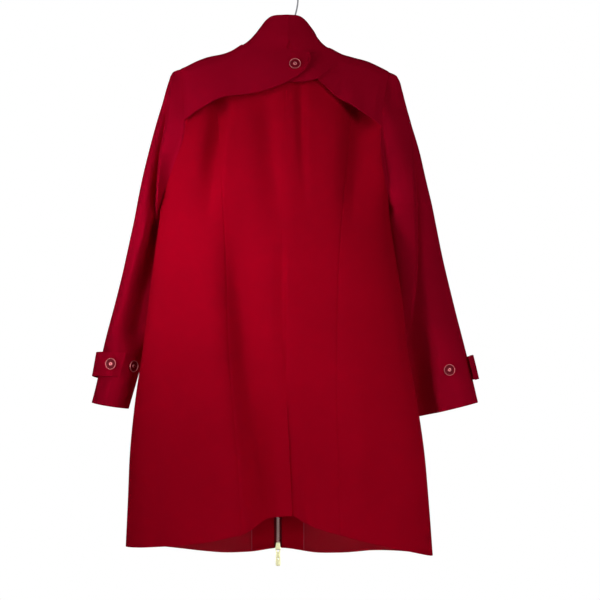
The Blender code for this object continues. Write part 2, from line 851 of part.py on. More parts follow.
def add_flap(side):
    word = "left" if side == LEFT else "right"
    share = 1 - (1 - np.linspace(0, 1, FLAP_COLUMNS + 1)[None, :]) ** 1.3
    down = np.linspace(0, 1, FLAP_ROWS + 1)[:, None] ** 2.2
    drop = np.full((FLAP_ROWS + 1, FLAP_COLUMNS + 1), 150.0)
    for _ in range(30):
        start = ARMHOLE[side].at("across", drop) - side * 0.4
        across = mix(start, FLAP_END[side], share)
        top = top_drop(BACK, across) + 0.7
        drop = mix(drop, mix(top, FLAP_EDGE[side].at("drop", across), down), 0.6)
    inner, _ = flap_spot(side, across, drop)
    outer, _ = flap_spot(side, across, drop, FLAP_WALL)
    add_wall("back_flap_" + word, outer, inner, "collar cloth")


# Cuff tabs and buttons


def tab_lift(side, angle):
    tab = TAB[side]
    from_end = np.clip((angle - tab.end) / (180 - tab.end), 0, 1)
    from_root = np.clip((tab.root - angle) / (tab.root - 180), 0, 1)
    return np.where(
        angle < 180,
        mix(tab.end_lift, tab.outer_lift, ease(from_end)),
        mix(0.6, tab.outer_lift, ease(from_root)),
    )


def tab_spot(side, angle, offset, extra):
    tab = TAB[side]
    length = CUFF_DROP[side][0] - UNDERARM_DROP
    slant = np.clip((angle - tab.end) / max(180 - tab.end, 1), 0, 2)
    along = mix(tab.end_along, tab.outer_along, slant) + offset / length
    return sleeve_spot(side, along, np.radians(angle), tab_lift(side, angle) + extra)


def add_tab(side):
    word = "left" if side == LEFT else "right"
    tab = TAB[side]
    angle = np.linspace(tab.end, tab.root, TAB_COLUMNS + 1)[None, :]
    offset = np.linspace(-1, 1, 5)[:, None] * tab.half_height
    corner = 1 - 0.12 * (np.abs(offset) > tab.half_height * 0.9) * (angle <= tab.end + 0.1)
    outer, _ = tab_spot(side, angle, offset * corner, TAB_WALL)
    inner, _ = tab_spot(side, angle, offset * corner, 0.0)
    add_wall("cuff_tab_" + word, outer, inner, "coat cloth")


def add_button(name, spot, normal):
    radius = BUTTON_RADIUS
    profile = [
        (0, -BUTTON_SHANK),
        (2, -BUTTON_SHANK),
        (2, 0),
        (radius - 1, 0),
        (radius, 1.2),
        (radius - 0.4, 2.6),
        (radius - 1.6, 3.2),
        (radius - 2.8, 2.2),
        (4.4, 2.0),
        (3.8, 3.2),
        (0, 3.4),
    ]
    centre = np.asarray(spot) + np.asarray(normal) * (BUTTON_SHANK + SEAM_GAP)
    turn = Vector(normal).to_track_quat("Z", "Y").to_matrix().to_4x4()
    place = Matrix.Translation(Vector(centre) * MM) @ turn
    add_lathe(name, profile, BUTTON_SEGMENTS, "button gold", place)


def add_buttons():
    across, drop = np.array(FLAP_BUTTON[0]), np.array(FLAP_BUTTON[1])
    add_button("button_flap", *flap_spot(LEFT, across, drop, FLAP_WALL))
    for side, word in ((LEFT, "left"), (RIGHT, "right")):
        angle, along = SPARE_BUTTON[side]
        add_button("button_spare_" + word, *sleeve_spot(side, along, math.radians(angle), 0.0))
        spot = tab_spot(side, np.array(TAB_BUTTON_ANGLE[side]), 0.0, TAB_WALL)
        add_button("button_tab_" + word, *spot)


# Zip: everything is placed from the middle of its tape


def zip_path():
    """Points and normals of the tape's middle from the hem to the neck's edge."""
    top = top_drop(FRONT, SEAM.at("zip", 176.0)) + 1
    low = HEM[FRONT].at("drop", SEAM.at("zip", 980.0)) - 1
    drop = np.linspace(low, top, 40)
    turn = turn_at(SEAM.at("zip", drop), drop)
    normals = body_normals(FRONT, turn, drop)
    return body_points(FRONT, turn, drop) - normals * (WALL + TAPE_BEHIND_WALL), normals


def path_frames(points, normals, start, end, count):
    """Evenly spaced places along a path between two lengths, with their three axes."""
    length = np.concatenate([[0], np.cumsum(np.linalg.norm(np.diff(points, axis=0), axis=1))])
    start, end = [v if v > 0 else length[-1] + v for v in (start, end)]
    where = np.linspace(start, end, count)
    place, out = [
        np.stack([np.interp(where, length, grid[:, k]) for k in range(3)], axis=-1)
        for grid in (points, normals)
    ]
    up = unit(np.gradient(place, axis=0))
    out = unit(out - up * np.sum(out * up, axis=-1, keepdims=True))
    return place, out, np.cross(out, up), up


def add_strip(name, frames, widths, depths, material_name):
    place, out, side, _ = frames
    corners = [(w, d) for w, d in zip((0, 1, 1, 0), (0, 0, 1, 1))]
    rings = [place + side * widths[w] + out * depths[d] for w, d in corners]
    add_loft(name, np.stack(rings, axis=1), material_name)


def box_mesh(bm, low, high):
    size = Vector(high) - Vector(low)
    middle = (Vector(high) + Vector(low)) / 2
    place = Matrix.Translation(middle * MM) @ Matrix.Diagonal((*(size * MM), 1.0))
    bmesh.ops.create_cube(bm, size=1.0, matrix=place)


def join_boxes(name, boxes, material_name, place):
    """One solid from boxes that run into each other."""
    made = None
    for low, high in boxes:
        bm = bmesh.new()
        box_mesh(bm, low, high)
        mesh = bpy.data.meshes.new(name)
        bm.to_mesh(mesh)
        bm.free()
        piece = bpy.data.objects.new(name, mesh)
        bpy.context.scene.collection.objects.link(piece)
        if made is None:
            made = piece
            continue
        union = made.modifiers.new("join", "BOOLEAN")
        union.operation = "UNION"
        union.object = piece
        bpy.context.view_layer.update()
        graph = bpy.context.evaluated_depsgraph_get()
        joined = bpy.data.meshes.new_from_object(made.evaluated_get(graph))
        made.modifiers.clear()
        made.data = joined
        bpy.data.objects.remove(piece)
    made.name = name
    made.data.materials.clear()
    made.data.materials.append(material(material_name))
    made.matrix_world = place
    return made


def add_slider(name, place):
    wide, tall = SLIDER_HALF_WIDTH, SLIDER_HALF_HEIGHT
    inner, outer = SLIDER_PLATE
    low, high = BRIDGE_FRONT
    thin = BRIDGE_HALF_WIDTH
    near, far = BRIDGE_LEG
    boxes = [
        ((-wide, inner, -tall), (wide, outer, tall)),
        ((-wide, -outer, -tall), (wide, -inner, tall)),
        ((-1.6, -inner - 0.5, -4.0), (1.6, inner + 0.5, 5.0)),
        ((-thin, outer - 0.5, near), (thin, high, far)),
        ((-thin, outer - 0.5, -far), (thin, high, -near)),
        ((-thin, low, -far + 0.2), (thin, high, far - 0.2)),
    ]
    join_boxes(name, boxes, "zip metal", place)


def add_pull(name, place):
    """The pull tab hangs from the origin; a window takes the bridge, a small hole sits low."""
    wide = np.array([-PULL_HALF_WIDTH, -2.2, -1.0, 1.0, 2.2, PULL_HALF_WIDTH])
    down = np.array([0.75, -0.75, -8.0, -19.0, -21.5, -30.0, -32.5, 0.75 - PULL_LENGTH])
    taper = np.array([0.8, 0.8, 0.85, 0.96, 0.97, 1.0, 0.97, 0.8])
    x = wide[None, :] * np.where(np.abs(wide) > 3, taper[:, None], 1.0)
    z = np.repeat(down[:, None], len(wide), axis=1)
    present = np.ones((len(down) - 1, len(wide) - 1), bool)
    present[1, 1:4] = False
    present[3, 2] = False
    outer = np.stack([x, np.full_like(x, PULL_HALF), z], axis=-1)
    inner = np.stack([x, np.full_like(x, -PULL_HALF), z], axis=-1)
    add_wall(name, outer, inner, "zip metal", present, place=place)


def add_zip():
    points, normals = zip_path()
    for side, word in ((LEFT, "left"), (RIGHT, "right")):
        ends = [seam_turn("zip", side * w) for w in (TAPE_WIDTH, TAPE_EDGE)][::-side]
        turn, drop = body_grid(FRONT, *ends, np.linspace(0, 1, 3))
        drop = drop + np.linspace(1.5, -1.5, len(drop))[:, None]
        sunk = WALL + TAPE_BEHIND_WALL - TAPE_HALF
        add_panel("zip_tape_" + word, FRONT, turn, drop, sunk, 2 * TAPE_HALF, "zip tape")
    half = SLIDER_HALF_HEIGHT
    start, end = 2.0, -2.0 - half
    chain = path_frames(points, normals, start + half + SEAM_GAP, end - half - SEAM_GAP, 26)
    width, depth = CHAIN_HALF_WIDTH, CHAIN_HALF
    add_strip("zip_chain", chain, (-width, width), (-depth, depth), "zip metal")
    for word, where in (("bottom", (start - 1, start + 1)), ("top", (end - 1, end + 1))):
        place, out, side, up = [grid[0] for grid in path_frames(points, normals, *where, 2)]
        centre = place + up
        frame = Matrix(np.stack([side, out, up], axis=1).tolist()).to_4x4()
        add_slider("zip_slider_" + word, Matrix.Translation(Vector(centre) * MM) @ frame)
        axis = centre + out * PULL_AXIS_OUT - up * PULL_AXIS_DOWN
        add_pull("zip_pull_" + word, Matrix.Translation(Vector(axis) * MM) @ frame)


# Hanger


def bar_top(across):
    """The bar carries the shoulders and stays below the neck's edge."""
    from_neck = np.abs(across - (NECK_LEFT + NECK_RIGHT) / 2)
    relief = BAR_NECK_RELIEF * ease((105 - from_neck) / 28)
    return SHOULDER.at("drop", across) + WALL + BAR_CLEARANCE + relief


def add_hanger():
    across = np.linspace(*BAR_ENDS, 25)
    top = bar_top(across)
    end_share = np.abs(across - np.mean(BAR_ENDS)) / (BAR_ENDS[1] - BAR_ENDS[0]) * 2
    tall = mix(26.0, 15.0, end_share)
    half = BAR_HALF_WIDTH * np.sqrt(np.clip(1.02 - end_share**24, 0, 1))
    angle = np.linspace(0, math.pi, 6)
    upper = np.stack([np.cos(angle), np.sin(angle)], axis=-1)
    rings = []
    for x, drop, height, radius in zip(across, top, tall, half):
        ring = [(x, radius * c, -drop - radius + radius * s) for c, s in upper]
        ring += [(x, -radius * c, -drop - height + radius - radius * s) for c, s in upper]
        rings.append(ring)
    add_loft("hanger_bar", np.array(rings), "hanger plastic")
    add_hook(bar_top(0.0) - SEAM_GAP)


def add_hook(foot):
    """Wire that leans out of the bar and turns over the rod."""
    radius = HOOK_INNER_RADIUS + HOOK_WIRE_RADIUS
    rise = np.linspace(0, 1, 12)
    points = [(radius * ease(t), 0, -mix(foot, HOOK_INNER_RADIUS, t)) for t in rise]
    for a in np.radians(np.linspace(0, HOOK_TIP_ANGLE, 22)[1:]):
        points.append((radius * math.cos(a), 0, radius * math.sin(a) - HOOK_INNER_RADIUS))
    curve = bpy.data.curves.new("hanger_hook", "CURVE")
    curve.dimensions = "3D"
    curve.bevel_depth = HOOK_WIRE_RADIUS * MM
    curve.bevel_resolution = 2
    curve.use_fill_caps = True
    spline = curve.splines.new("POLY")
    spline.points.add(len(points) - 1)
    for spot, point in zip(spline.points, points):
        spot.co = (*(Vector(point) * MM), 1.0)
    hook = bpy.data.objects.new("hanger_hook", curve)
    hook.data.materials.append(material("hook steel"))
    bpy.context.scene.collection.objects.link(hook)


def main():
    for old in list(bpy.data.objects):
        bpy.data.objects.remove(old)
    back = add_back()
    front = add_fronts()
    for side, word, column in ((LEFT, "side left", 0), (RIGHT, "side right", -1)):
        add_sleeve(side, back[word][1][: CAP_ROWS + 1, column])
        add_flap(side)
        add_tab(side)
    add_collar(back, front)
    add_buttons()
    add_zip()
    add_hanger()


main()
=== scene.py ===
import math
from collections import namedtuple

import bmesh
import bpy
import numpy as np
from mathutils import Matrix, Vector


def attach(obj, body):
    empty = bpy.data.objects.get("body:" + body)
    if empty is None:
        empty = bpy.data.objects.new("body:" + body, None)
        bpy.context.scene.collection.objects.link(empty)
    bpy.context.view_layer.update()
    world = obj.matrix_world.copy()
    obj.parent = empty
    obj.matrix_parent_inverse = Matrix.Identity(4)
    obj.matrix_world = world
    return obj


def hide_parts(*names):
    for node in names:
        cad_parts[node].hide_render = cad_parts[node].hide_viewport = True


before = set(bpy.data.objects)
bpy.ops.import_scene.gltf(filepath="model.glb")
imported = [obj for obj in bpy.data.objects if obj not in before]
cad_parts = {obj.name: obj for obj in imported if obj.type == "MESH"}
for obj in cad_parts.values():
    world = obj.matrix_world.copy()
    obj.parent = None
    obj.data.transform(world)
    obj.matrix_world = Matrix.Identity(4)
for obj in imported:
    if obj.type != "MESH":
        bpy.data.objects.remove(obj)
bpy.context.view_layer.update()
print("frame loaded:", len(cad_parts), "nodes")

mm = 0.001
back, front = -1, 1  # faces of the body
left, right = -1, 1  # sides as the photograph shows them
sideWord = {left: "left", right: "right"}
sideName = {left: "Left", right: "Right"}

# Camera, level and far behind the coat

viewpoint = {"across": 0.021, "height": -0.5427, "distance": 5.0, "frameWidth": 1.05}


def addCamera():
    data = bpy.data.cameras.new("camera")
    data.sensor_width = 36.0
    data.lens = data.sensor_width * viewpoint["distance"] / viewpoint["frameWidth"]
    camera = bpy.data.objects.new("camera", data)
    camera.location = (viewpoint["across"], -viewpoint["distance"], viewpoint["height"])
    camera.rotation_euler = (math.pi / 2, 0, 0)
    bpy.context.scene.collection.objects.link(camera)
    bpy.context.scene.camera = camera


addCamera()
print("camera placed")

# Shader maths


class Wire:  # a socket of a material; sums on it add Math nodes
    def __init__(self, tree, socket=None):
        self.tree = tree
        self.socket = socket

    def node(self, kind, settings=None, sockets=None, out=0):
        made = self.tree.nodes.new("ShaderNode" + kind)
        for name, value in (settings or {}).items():
            setattr(made, name, value)
        for name, value in (sockets or {}).items():
            if isinstance(value, Wire):
                self.tree.links.new(value.socket, made.inputs[name])
            else:
                made.inputs[name].default_value = value
        return Wire(self.tree, made.outputs[out] if made.outputs else None)

    def maths(self, operation, first, second=0.0):
        return self.node("Math", {"operation": operation}, {0: first, 1: second})

    def __add__(self, other):
        return self.maths("ADD", self, other)

    def __radd__(self, other):
        return self.maths("ADD", other, self)

    def __sub__(self, other):
        return self.maths("SUBTRACT", self, other)

    def __rsub__(self, other):
        return self.maths("SUBTRACT", other, self)

    def __mul__(self, other):
        return self.maths("MULTIPLY", self, other)

    def __rmul__(self, other):
        return self.maths("MULTIPLY", other, self)

    def __gt__(self, other):
        return self.maths("GREATER_THAN", self, other)

    def sine(self):
        return self.maths("SINE", self)

    def size(self):
        return self.maths("ABSOLUTE", self)

    def parts(self):
        return [self.node("SeparateXYZ", None, {0: self}, k) for k in range(3)]

    def noise(self, place, scale, detail=2.0):
        return self.node("TexNoise", None, {"Vector": place, "Scale": scale, "Detail": detail})

    def blend(self, share, low, high):
        sockets = {0: share, 6: (*low, 1.0), 7: (*high, 1.0)}
        return self.node("Mix", {"data_type": "RGBA", "clamp_factor": True}, sockets, 2)

    def bump(self, height, distance, strength):
        return self.node("Bump", None, {"Height": height, "Distance": distance, "Strength": strength})


def newMaterial(name, build, look):
    made = bpy.data.materials.new(name)
    made.use_nodes = True
    made.node_tree.nodes.clear()
    wire = Wire(made.node_tree)
    wire.node("OutputMaterial", None, {"Surface": build(wire, look)})
    made.diffuse_color = (*look["light"], 1.0)
    return made


levelNormal = 0.75  # cloth that faces up more than this takes its threads from the floor plan


def boxMapped(w, place):  # two flat thread directions on whichever way the cloth faces
    x, y, z = place.parts()
    nx, ny, nz = [n.size() for n in w.node("NewGeometry", out="Normal").parts()]
    across = x + (nx > ny) * (y - x)
    down = z + (nz > levelNormal) * (y - z)
    return across, down


def woolShader(w, look):  # fine twill with a short nap
    place = w.node("TexCoord", out="Object")
    across, down = boxMapped(w, place)
    turns = 2 * math.pi / look["pitch"]
    twill = ((across + down) * turns).sine()
    threads = ((across - look["threadSlant"] * down) * (turns * look["threadCount"])).sine()
    nap = w.noise(place, look["napScale"], 3.0)
    cloud = w.noise(place, look["cloudScale"], 3.0)
    height = look["twillHeight"] * twill + look["threadHeight"] * threads + look["napHeight"] * nap
    shade = look["cloudShade"] * cloud + look["napShade"] * nap + look["twillShade"] * twill
    sockets = {
        "Base Color": w.blend(shade, look["dark"], look["light"]),
        "Roughness": look["rough"] + look["roughSpread"] * (nap - 0.5),
        "Normal": w.bump(height, look["relief"], look["bump"]),
        "Specular IOR Level": look["gloss"],
        "Sheen Weight": look["sheen"],
        "Sheen Roughness": look["sheenRough"],
        "Sheen Tint": (*look["sheenTint"], 1.0),
    }
    return w.node("BsdfPrincipled", None, sockets)


def satinShader(w, look):  # smooth lining with fine upright threads
    place = w.node("TexCoord", out="Object")
    across, _ = boxMapped(w, place)
    threads = (across * (2 * math.pi / look["pitch"])).sine()
    streak = w.noise(place, look["cloudScale"], 4.0)
    sockets = {
        "Base Color": w.blend(streak, look["dark"], look["light"]),
        "Roughness": look["rough"] + look["roughSpread"] * (streak - 0.5),
        "Normal": w.bump(threads + streak, look["relief"], look["bump"]),
        "Specular IOR Level": look["gloss"],
    }
    return w.node("BsdfPrincipled", None, sockets)


def metalShader(w, look):  # plated metal, rubbed in patches and finely scratched
    place = w.node("TexCoord", out="Object")
    worn = w.noise(place, look["wearScale"], 4.0)
    scratch = w.noise(place, look["scratchScale"], 2.0)
    shade = look["wear"] * worn + (1 - look["wear"]) * scratch
    sockets = {
        "Base Color": w.blend(shade, look["dark"], look["light"]),
        "Roughness": look["rough"] + look["roughSpread"] * (scratch - 0.5),
        "Normal": w.bump(scratch, look["relief"], look["bump"]),
        "Metallic": look["metallic"],
    }
    return w.node("BsdfPrincipled", None, sockets)


def plasticShader(w, look):  # moulded, with a faint grain
    place = w.node("TexCoord", out="Object")
    grain = w.noise(place, look["grainScale"], 3.0)
    sockets = {
        "Base Color": w.blend(grain, look["dark"], look["light"]),
        "Roughness": look["rough"] + look["roughSpread"] * (grain - 0.5),
        "Normal": w.bump(grain, look["relief"], look["bump"]),
        "Specular IOR Level": look["gloss"],
    }
    return w.node("BsdfPrincipled", None, sockets)


woolLook = {
    "dark": (0.33, 0.0001, 0.0102),
    "light": (0.48, 0.0002, 0.0150),
    "rough": 0.86,
    "roughSpread": 0.14,
    "gloss": 0.01,
    "sheen": 0.03,
    "sheenRough": 0.5,
    "sheenTint": (0.9, 0.0, 0.03),
    "pitch": 0.0011,
    "threadSlant": 0.4,
    "threadCount": 2.3,  # fine threads to one twill line
    "twillHeight": 0.5,
    "threadHeight": 0.25,
    "napHeight": 1.1,
    "napScale": 900.0,
    "cloudScale": 9.0,
    "cloudShade": 0.65,
    "napShade": 0.3,
    "twillShade": 0.04,
    "relief": 0.00022,
    "bump": 0.5,
}
# the same red wool with a bluer tint for the sleeves, flaps, collar and cuff tabs: painted light, standing
# in for colder light falling on them
paintedCoolLightLook = dict(woolLook, dark=(0.335, 0.0006, 0.0160), light=(0.485, 0.0010, 0.0235))
facingLook = dict(woolLook, dark=(0.36, 0.0001, 0.0090), light=(0.50, 0.0002, 0.0130))
liningLook = {
    "dark": (0.34, 0.0002, 0.0100),
    "light": (0.50, 0.0004, 0.0140),
    "rough": 0.55,
    "roughSpread": 0.2,
    "gloss": 0.1,
    "pitch": 0.0006,
    "cloudScale": 14.0,
    "relief": 0.00008,
    "bump": 0.4,
}
bindingLook = dict(liningLook, dark=(0.36, 0.020, 0.035), light=(0.52, 0.045, 0.065), rough=0.5)
tapeLook = dict(liningLook, dark=(0.10, 0.001, 0.006), light=(0.16, 0.002, 0.009), rough=0.75, gloss=0.1)
goldLook = {
    "dark": (0.32, 0.08, 0.09),
    "light": (0.78, 0.22, 0.24),
    "rough": 0.3,
    "roughSpread": 0.3,
    "metallic": 1.0,
    "wear": 0.7,  # the rest of the shade is scratches
    "wearScale": 160.0,
    "scratchScale": 1440.0,
    "relief": 0.00004,
    "bump": 0.3,
}
zipLook = dict(goldLook, dark=(0.42, 0.24, 0.22), light=(0.85, 0.58, 0.52), rough=0.35)
# pale brass for the pulls and sliders, partly their own colour and partly painted light: coloured nearly
# white, brighter than the metal, to stand in for the glare on them
paintedGlarePullLook = dict(goldLook, dark=(0.96, 0.92, 0.48), light=(1.0, 0.98, 0.66), rough=0.3)
steelLook = dict(goldLook, dark=(0.12, 0.12, 0.13), light=(0.30, 0.30, 0.32), rough=0.38)
enamelLook = {
    "dark": (0.14, 0.001, 0.009),
    "light": (0.22, 0.002, 0.014),
    "rough": 0.35,
    "roughSpread": 0.2,
    "gloss": 0.08,
    "grainScale": 300.0,
    "relief": 0.00003,
    "bump": 0.3,
}
threadLook = dict(enamelLook, dark=(0.05, 0.001, 0.004), light=(0.10, 0.003, 0.008), rough=0.8)
hangerLook = dict(enamelLook, dark=(0.018, 0.018, 0.020), light=(0.034, 0.034, 0.037), rough=0.45)

wool = newMaterial("red wool", woolShader, woolLook)
# painted cool light: a bluer copy of the red wool
paintedCoolLightWool = newMaterial("red wool, painted cool light", woolShader, paintedCoolLightLook)
facingWool = newMaterial("facing wool", woolShader, facingLook)
lining = newMaterial("lining satin", satinShader, liningLook)
binding = newMaterial("facing binding", satinShader, bindingLook)
tapeCloth = newMaterial("zip tape", satinShader, tapeLook)
gold = newMaterial("button gold", metalShader, goldLook)
zipMetal = newMaterial("zip metal", metalShader, zipLook)
# painted glare on the pulls and sliders
paintedGlarePullMetal = newMaterial("pull metal, painted glare", metalShader, paintedGlarePullLook)
steel = newMaterial("hook steel", metalShader, steelLook)
enamel = newMaterial("button enamel", plasticShader, enamelLook)
thread = newMaterial("button thread", plasticShader, threadLook)
hangerPlastic = newMaterial("hanger plastic", plasticShader, hangerLook)
print("materials made:", len(bpy.data.materials))

# Form of the coat, in millimetres; a drop is measured down from the hook's inner top


class Sizes:  # rows of sizes under named columns, read as smooth curves
    def __init__(self, columns, *rows):
        self.names = columns.split()
        self.rows = np.array(sorted(rows), float)

    def at(self, column, where):
        x = self.rows[:, 0]
        y = self.rows[:, self.names.index(column)]
        slope = np.gradient(y, x)
        where = np.clip(where, x[0], x[-1])
        k = np.clip(np.searchsorted(x, where) - 1, 0, len(x) - 2)
        span = x[k + 1] - x[k]
        t = (where - x[k]) / span
        bend = (1 - t) ** 2 * t * slope[k] - t**2 * (1 - t) * slope[k + 1]
        return y[k] + (y[k + 1] - y[k]) * t * t * (3 - 2 * t) + span * bend


Fold = namedtuple("Fold", "face topAcross topDrop lowAcross lowDrop leftWidth rightWidth depth")

bodyForm = {
    "wall": 2.0,
    "seamGap": 0.3,
    "seamLap": 0.06,
    "underarm": 381.0,
    "shoulderRadius": 8.0,
    "shoulderFall": 150.0,
    "shoulderPower": 1.8,
    "facePower": {back: 2.7, front: 1.7},
    "neck": {left: -78.0, right: 70.0},
    "neckDip": {back: 13.0, front: 72.0},
    "neckPower": {back: 1.0, front: 0.75},
    "sections": Sizes(
        "drop left right back front side",
        (90, -214, 212, -54, 52, 0),
        (150, -214, 210, -58, 58, -1),
        (195, -216, 206, -61, 62, -2),
        (240, -219, 198, -63, 66, -3),
        (285, -222, 188, -65, 69, -4),
        (335, -223, 181, -66, 72, -4),
        (381, -223, 177, -66, 74, -4),
        (455, -232, 186, -66, 77, -5),
        (543, -243, 200, -68, 80, -5),
        (630, -254, 209, -72, 83, -5),
        (718, -267, 225, -76, 85, -4),
        (805, -276, 238, -80, 87, -3),
        (893, -280, 246, -84, 88, -2),
        (1000, -285, 254, -88, 88, -2),
    ),
    "shoulder": Sizes(
        "across drop",
        (-205, 152),
        (-188, 139.2),
        (-178, 134.5),
        (-161, 126),
        (-143, 119),
        (-110, 112),
        (-92, 107),
        (-78, 100.5),
        (-40, 92),
        (-4, 90),
        (35, 92),
        (70, 103.5),
        (91, 112),
        (115, 119),
        (140, 126),
        (159, 134.7),
        (177, 144.5),
        (192, 157),
    ),
    "seams": Sizes(
        "drop backLeft centre backRight zip",
        (90, -128, 0, 115, -4),
        (223, -122, -5, 108, -6),
        (289, -117, -8, 104, -7),
        (365, -113, -10, 97, -9),
        (455, -108, -11, 90, -10),
        (543, -105, -12, 86, -12),
        (630, -102, -9, 85, -13),
        (705, -96, -3, 85, -14),
        (767, -91, 1, 86, -15),
        (853, -84, 5, 88, -17),
        (935, -81, 9, 90, -18),
        (1000, -79, 12, 91, -18),
    ),
    "armhole": {
        left: Sizes(
            "drop across",
            (139.2, -188),
            (152, -185),
            (195, -180.5),
            (232, -177.5),
            (265, -182),
            (288, -190),
            (325, -204),
            (357, -216),
            (381, -223),
        ),
        right: Sizes(
            "drop across",
            (144.5, 177),
            (158, 174),
            (195, 167),
            (239, 160.5),
            (282, 161),
            (313, 165),
            (351, 172),
            (381, 177),
        ),
    },
    "hem": {
        back: Sizes(
            "across drop",
            (-290, 973),
            (-246, 971),
            (-203, 967.5),
            (-151, 962),
            (-100, 952),
            (-65, 941),
            (-51, 931),
            (-38, 922),
            (-13, 917),
            (9, 916),
            (30, 927),
            (56, 938),
            (90, 948),
            (142, 962),
            (194, 974),
            (231, 983),
            (254, 989),
        ),
        front: Sizes(
            "across drop",
            (-290, 973),
            (-240, 976),
            (-192, 982),
            (-157, 987),
            (-95, 992),
            (-68, 991),
            (-18, 984),
            (57, 992),
            (92, 991),
            (145, 986),
            (199, 985.5),
            (254, 989),
        ),
    },
    "groove": {"depth": 0.6, "width": 1.8},  # the pressed line of a back side seam
    # a fold fades over shares of its length, towards the side seams and up to the shoulder
    "foldFade": {"top": 0.25, "low": 0.6, "sidePower": 6, "below": 40.0},
    "neckDrop": {back: 115.0, front: 176.0},  # where the centre seams are read at the neck
    # troughs have a depth, ridges a negative one; each side of a fold has its own width
    "folds": [
        Fold(back, -104, 140, -144, 430, 20, 10, 22),
        Fold(back, -42, 150, -12, 470, 24, 16, 9),
        Fold(back, 20, 130, 30, 400, 9, 7, 6.5),
        Fold(back, 132, 130, 110, 480, 25, 58, 25),
        Fold(back, -100, 350, 5, 1400, 27, 46, 31),
        Fold(back, -62, 640, -26, 1350, 14, 22, 9),
        Fold(back, -9, 420, -9, 800, 18, 4, 7),
        Fold(back, -222, 760, -240, 1150, 16, 16, 5),
        Fold(back, -30, 730, -14, 1150, 16, 14, -5),
        Fold(back, 30, 730, 34, 1150, 16, 16, -5),
        Fold(back, 118, 620, 128, 1150, 24, 24, -4),
        Fold(front, -120, 240, -96, 640, 20, 28, 15),
        Fold(front, 100, 230, 72, 600, 26, 18, 14),
        Fold(front, -70, 560, -92, 1250, 26, 34, -12),
        Fold(front, 110, 600, 128, 1250, 34, 24, 12),
    ],
}


def unit(v):
    return v / np.maximum(np.linalg.norm(v, axis=-1, keepdims=True), 1e-9)


def ease(t):
    t = np.clip(t, 0.0, 1.0)
    return t * t * (3 - 2 * t)


def mix(a, b, t):
    return a + (b - a) * t


def turnAt(across, drop):  # -1 at the left side seam, 1 at the right one
    low, high = [bodyForm["sections"].at(word, drop) for word in ("left", "right")]
    share = (across - (low + high) / 2) / ((high - low) / 2)
    return np.arcsin(np.clip(share, -1, 1)) * 2 / math.pi


def acrossAt(turn, drop):
    low, high = [bodyForm["sections"].at(word, drop) for word in ("left", "right")]
    return (low + high) / 2 + (high - low) / 2 * np.sin(turn * math.pi / 2)


def foldPush(face, across, drop):
    push = np.zeros(np.broadcast(across, drop).shape)
    share = bodyForm["foldFade"]
    for fold in bodyForm["folds"]:
        if fold.face == face:
            along = (drop - fold.topDrop) / (fold.lowDrop - fold.topDrop)
            middle = mix(fold.topAcross, fold.lowAcross, np.clip(along, 0, 1))
            fade = ease(along / share["top"]) * ease((1 - along) / share["low"])
            width = np.where(across < middle, fold.leftWidth, fold.rightWidth)
            push = push + fold.depth * fade * np.exp(-(((across - middle) / width) ** 2))
    return push


def seamPush(face, across, drop):
    form, seams = bodyForm["groove"], bodyForm["seams"]
    away = [(across - seams.at(word, drop)) / form["width"] for word in ("backLeft", "backRight")]
    return form["depth"] * (face == back) * sum(np.exp(-(v**2)) for v in away)


def bodyPoints(face, turn, drop, folded=1.0):
    form = bodyForm
    across = acrossAt(turn, drop)
    side = form["sections"].at("side", drop)
    reach = np.abs(form["sections"].at("back" if face == back else "front", drop) - side)
    share = np.abs(np.sin(turn * math.pi / 2))
    power = form["facePower"][face]
    full = reach * np.clip(1 - share**power, 0, 1) ** (1 / power)
    below = np.clip(drop - form["shoulder"].at("drop", across), 0, None)
    radius = form["shoulderRadius"]
    rounded = radius * np.sqrt(1 - (1 - np.clip(below / radius, 0, 1)) ** 2)
    fallen = 1 - (1 - np.clip(below / form["shoulderFall"], 0, 1)) ** form["shoulderPower"]
    out = rounded + (full - radius) * fallen
    fade = form["foldFade"]
    push = foldPush(face, across, drop) * (1 - share ** fade["sidePower"]) + seamPush(face, across, drop)
    out = out - folded * push * ease(below / fade["below"])
    return np.stack(np.broadcast_arrays(across, side * fallen + face * out, -drop), axis=-1)


def bodyNormals(face, turn, drop, folded=1.0):
    stepTurn, stepDrop = 0.004, 0.6
    roundIt = bodyPoints(face, np.clip(turn + stepTurn, -1, 1), drop, folded)
    roundIt = roundIt - bodyPoints(face, np.clip(turn - stepTurn, -1, 1), drop, folded)
    downIt = bodyPoints(face, turn, drop + stepDrop, folded) - bodyPoints(face, turn, drop, folded)
    return unit(np.cross(roundIt, downIt)) * face


def topDrop(face, across):  # the shoulder line, dipped at the neck
    neck = bodyForm["neck"]
    centre, half = (neck[left] + neck[right]) / 2, (neck[right] - neck[left]) / 2
    share = np.clip(1 - ((across - centre) / half) ** 2, 0, 1)
    ends = [bodyForm["shoulder"].at("drop", neck[side]) for side in (left, right)]
    level = mix(*ends, np.clip((across - neck[left]) / (2 * half), 0, 1))
    dipped = level + bodyForm["neckDip"][face] * share ** bodyForm["neckPower"][face]
    inside = (across > neck[left]) & (across < neck[right])
    return np.where(inside, dipped, bodyForm["shoulder"].at("drop", across))


def seamTurn(column, offset=0.0):
    return lambda drop: turnAt(bodyForm["seams"].at(column, drop) + offset, drop)


def edgeTurn(side):  # armhole seam above the underarm, side seam below it
    armhole = bodyForm["armhole"][side]
    above = bodyForm["underarm"]
    return lambda drop: np.where(drop < above, turnAt(armhole.at("across", drop), drop), side)


settling = {"rounds": 40, "step": 0.6, "top": 120.0, "low": 970.0}


def settle(rule, start, count):  # drops that fit a rule which itself reads them
    drop = np.full(count, settling[start])
    for _ in range(settling["rounds"]):
        drop = mix(drop, rule(drop), settling["step"])
    return drop


grain = {
    "capRows": 70,
    "capPower": 1.7,
    "skirtRows": 130,
    "sideColumns": 56,
    "centreColumns": 48,
    "frontColumns": 76,
    "sleeveRows": 110,
    "sleeveColumns": 180,
}


def steps(count):
    return np.linspace(0, 1, count + 1)


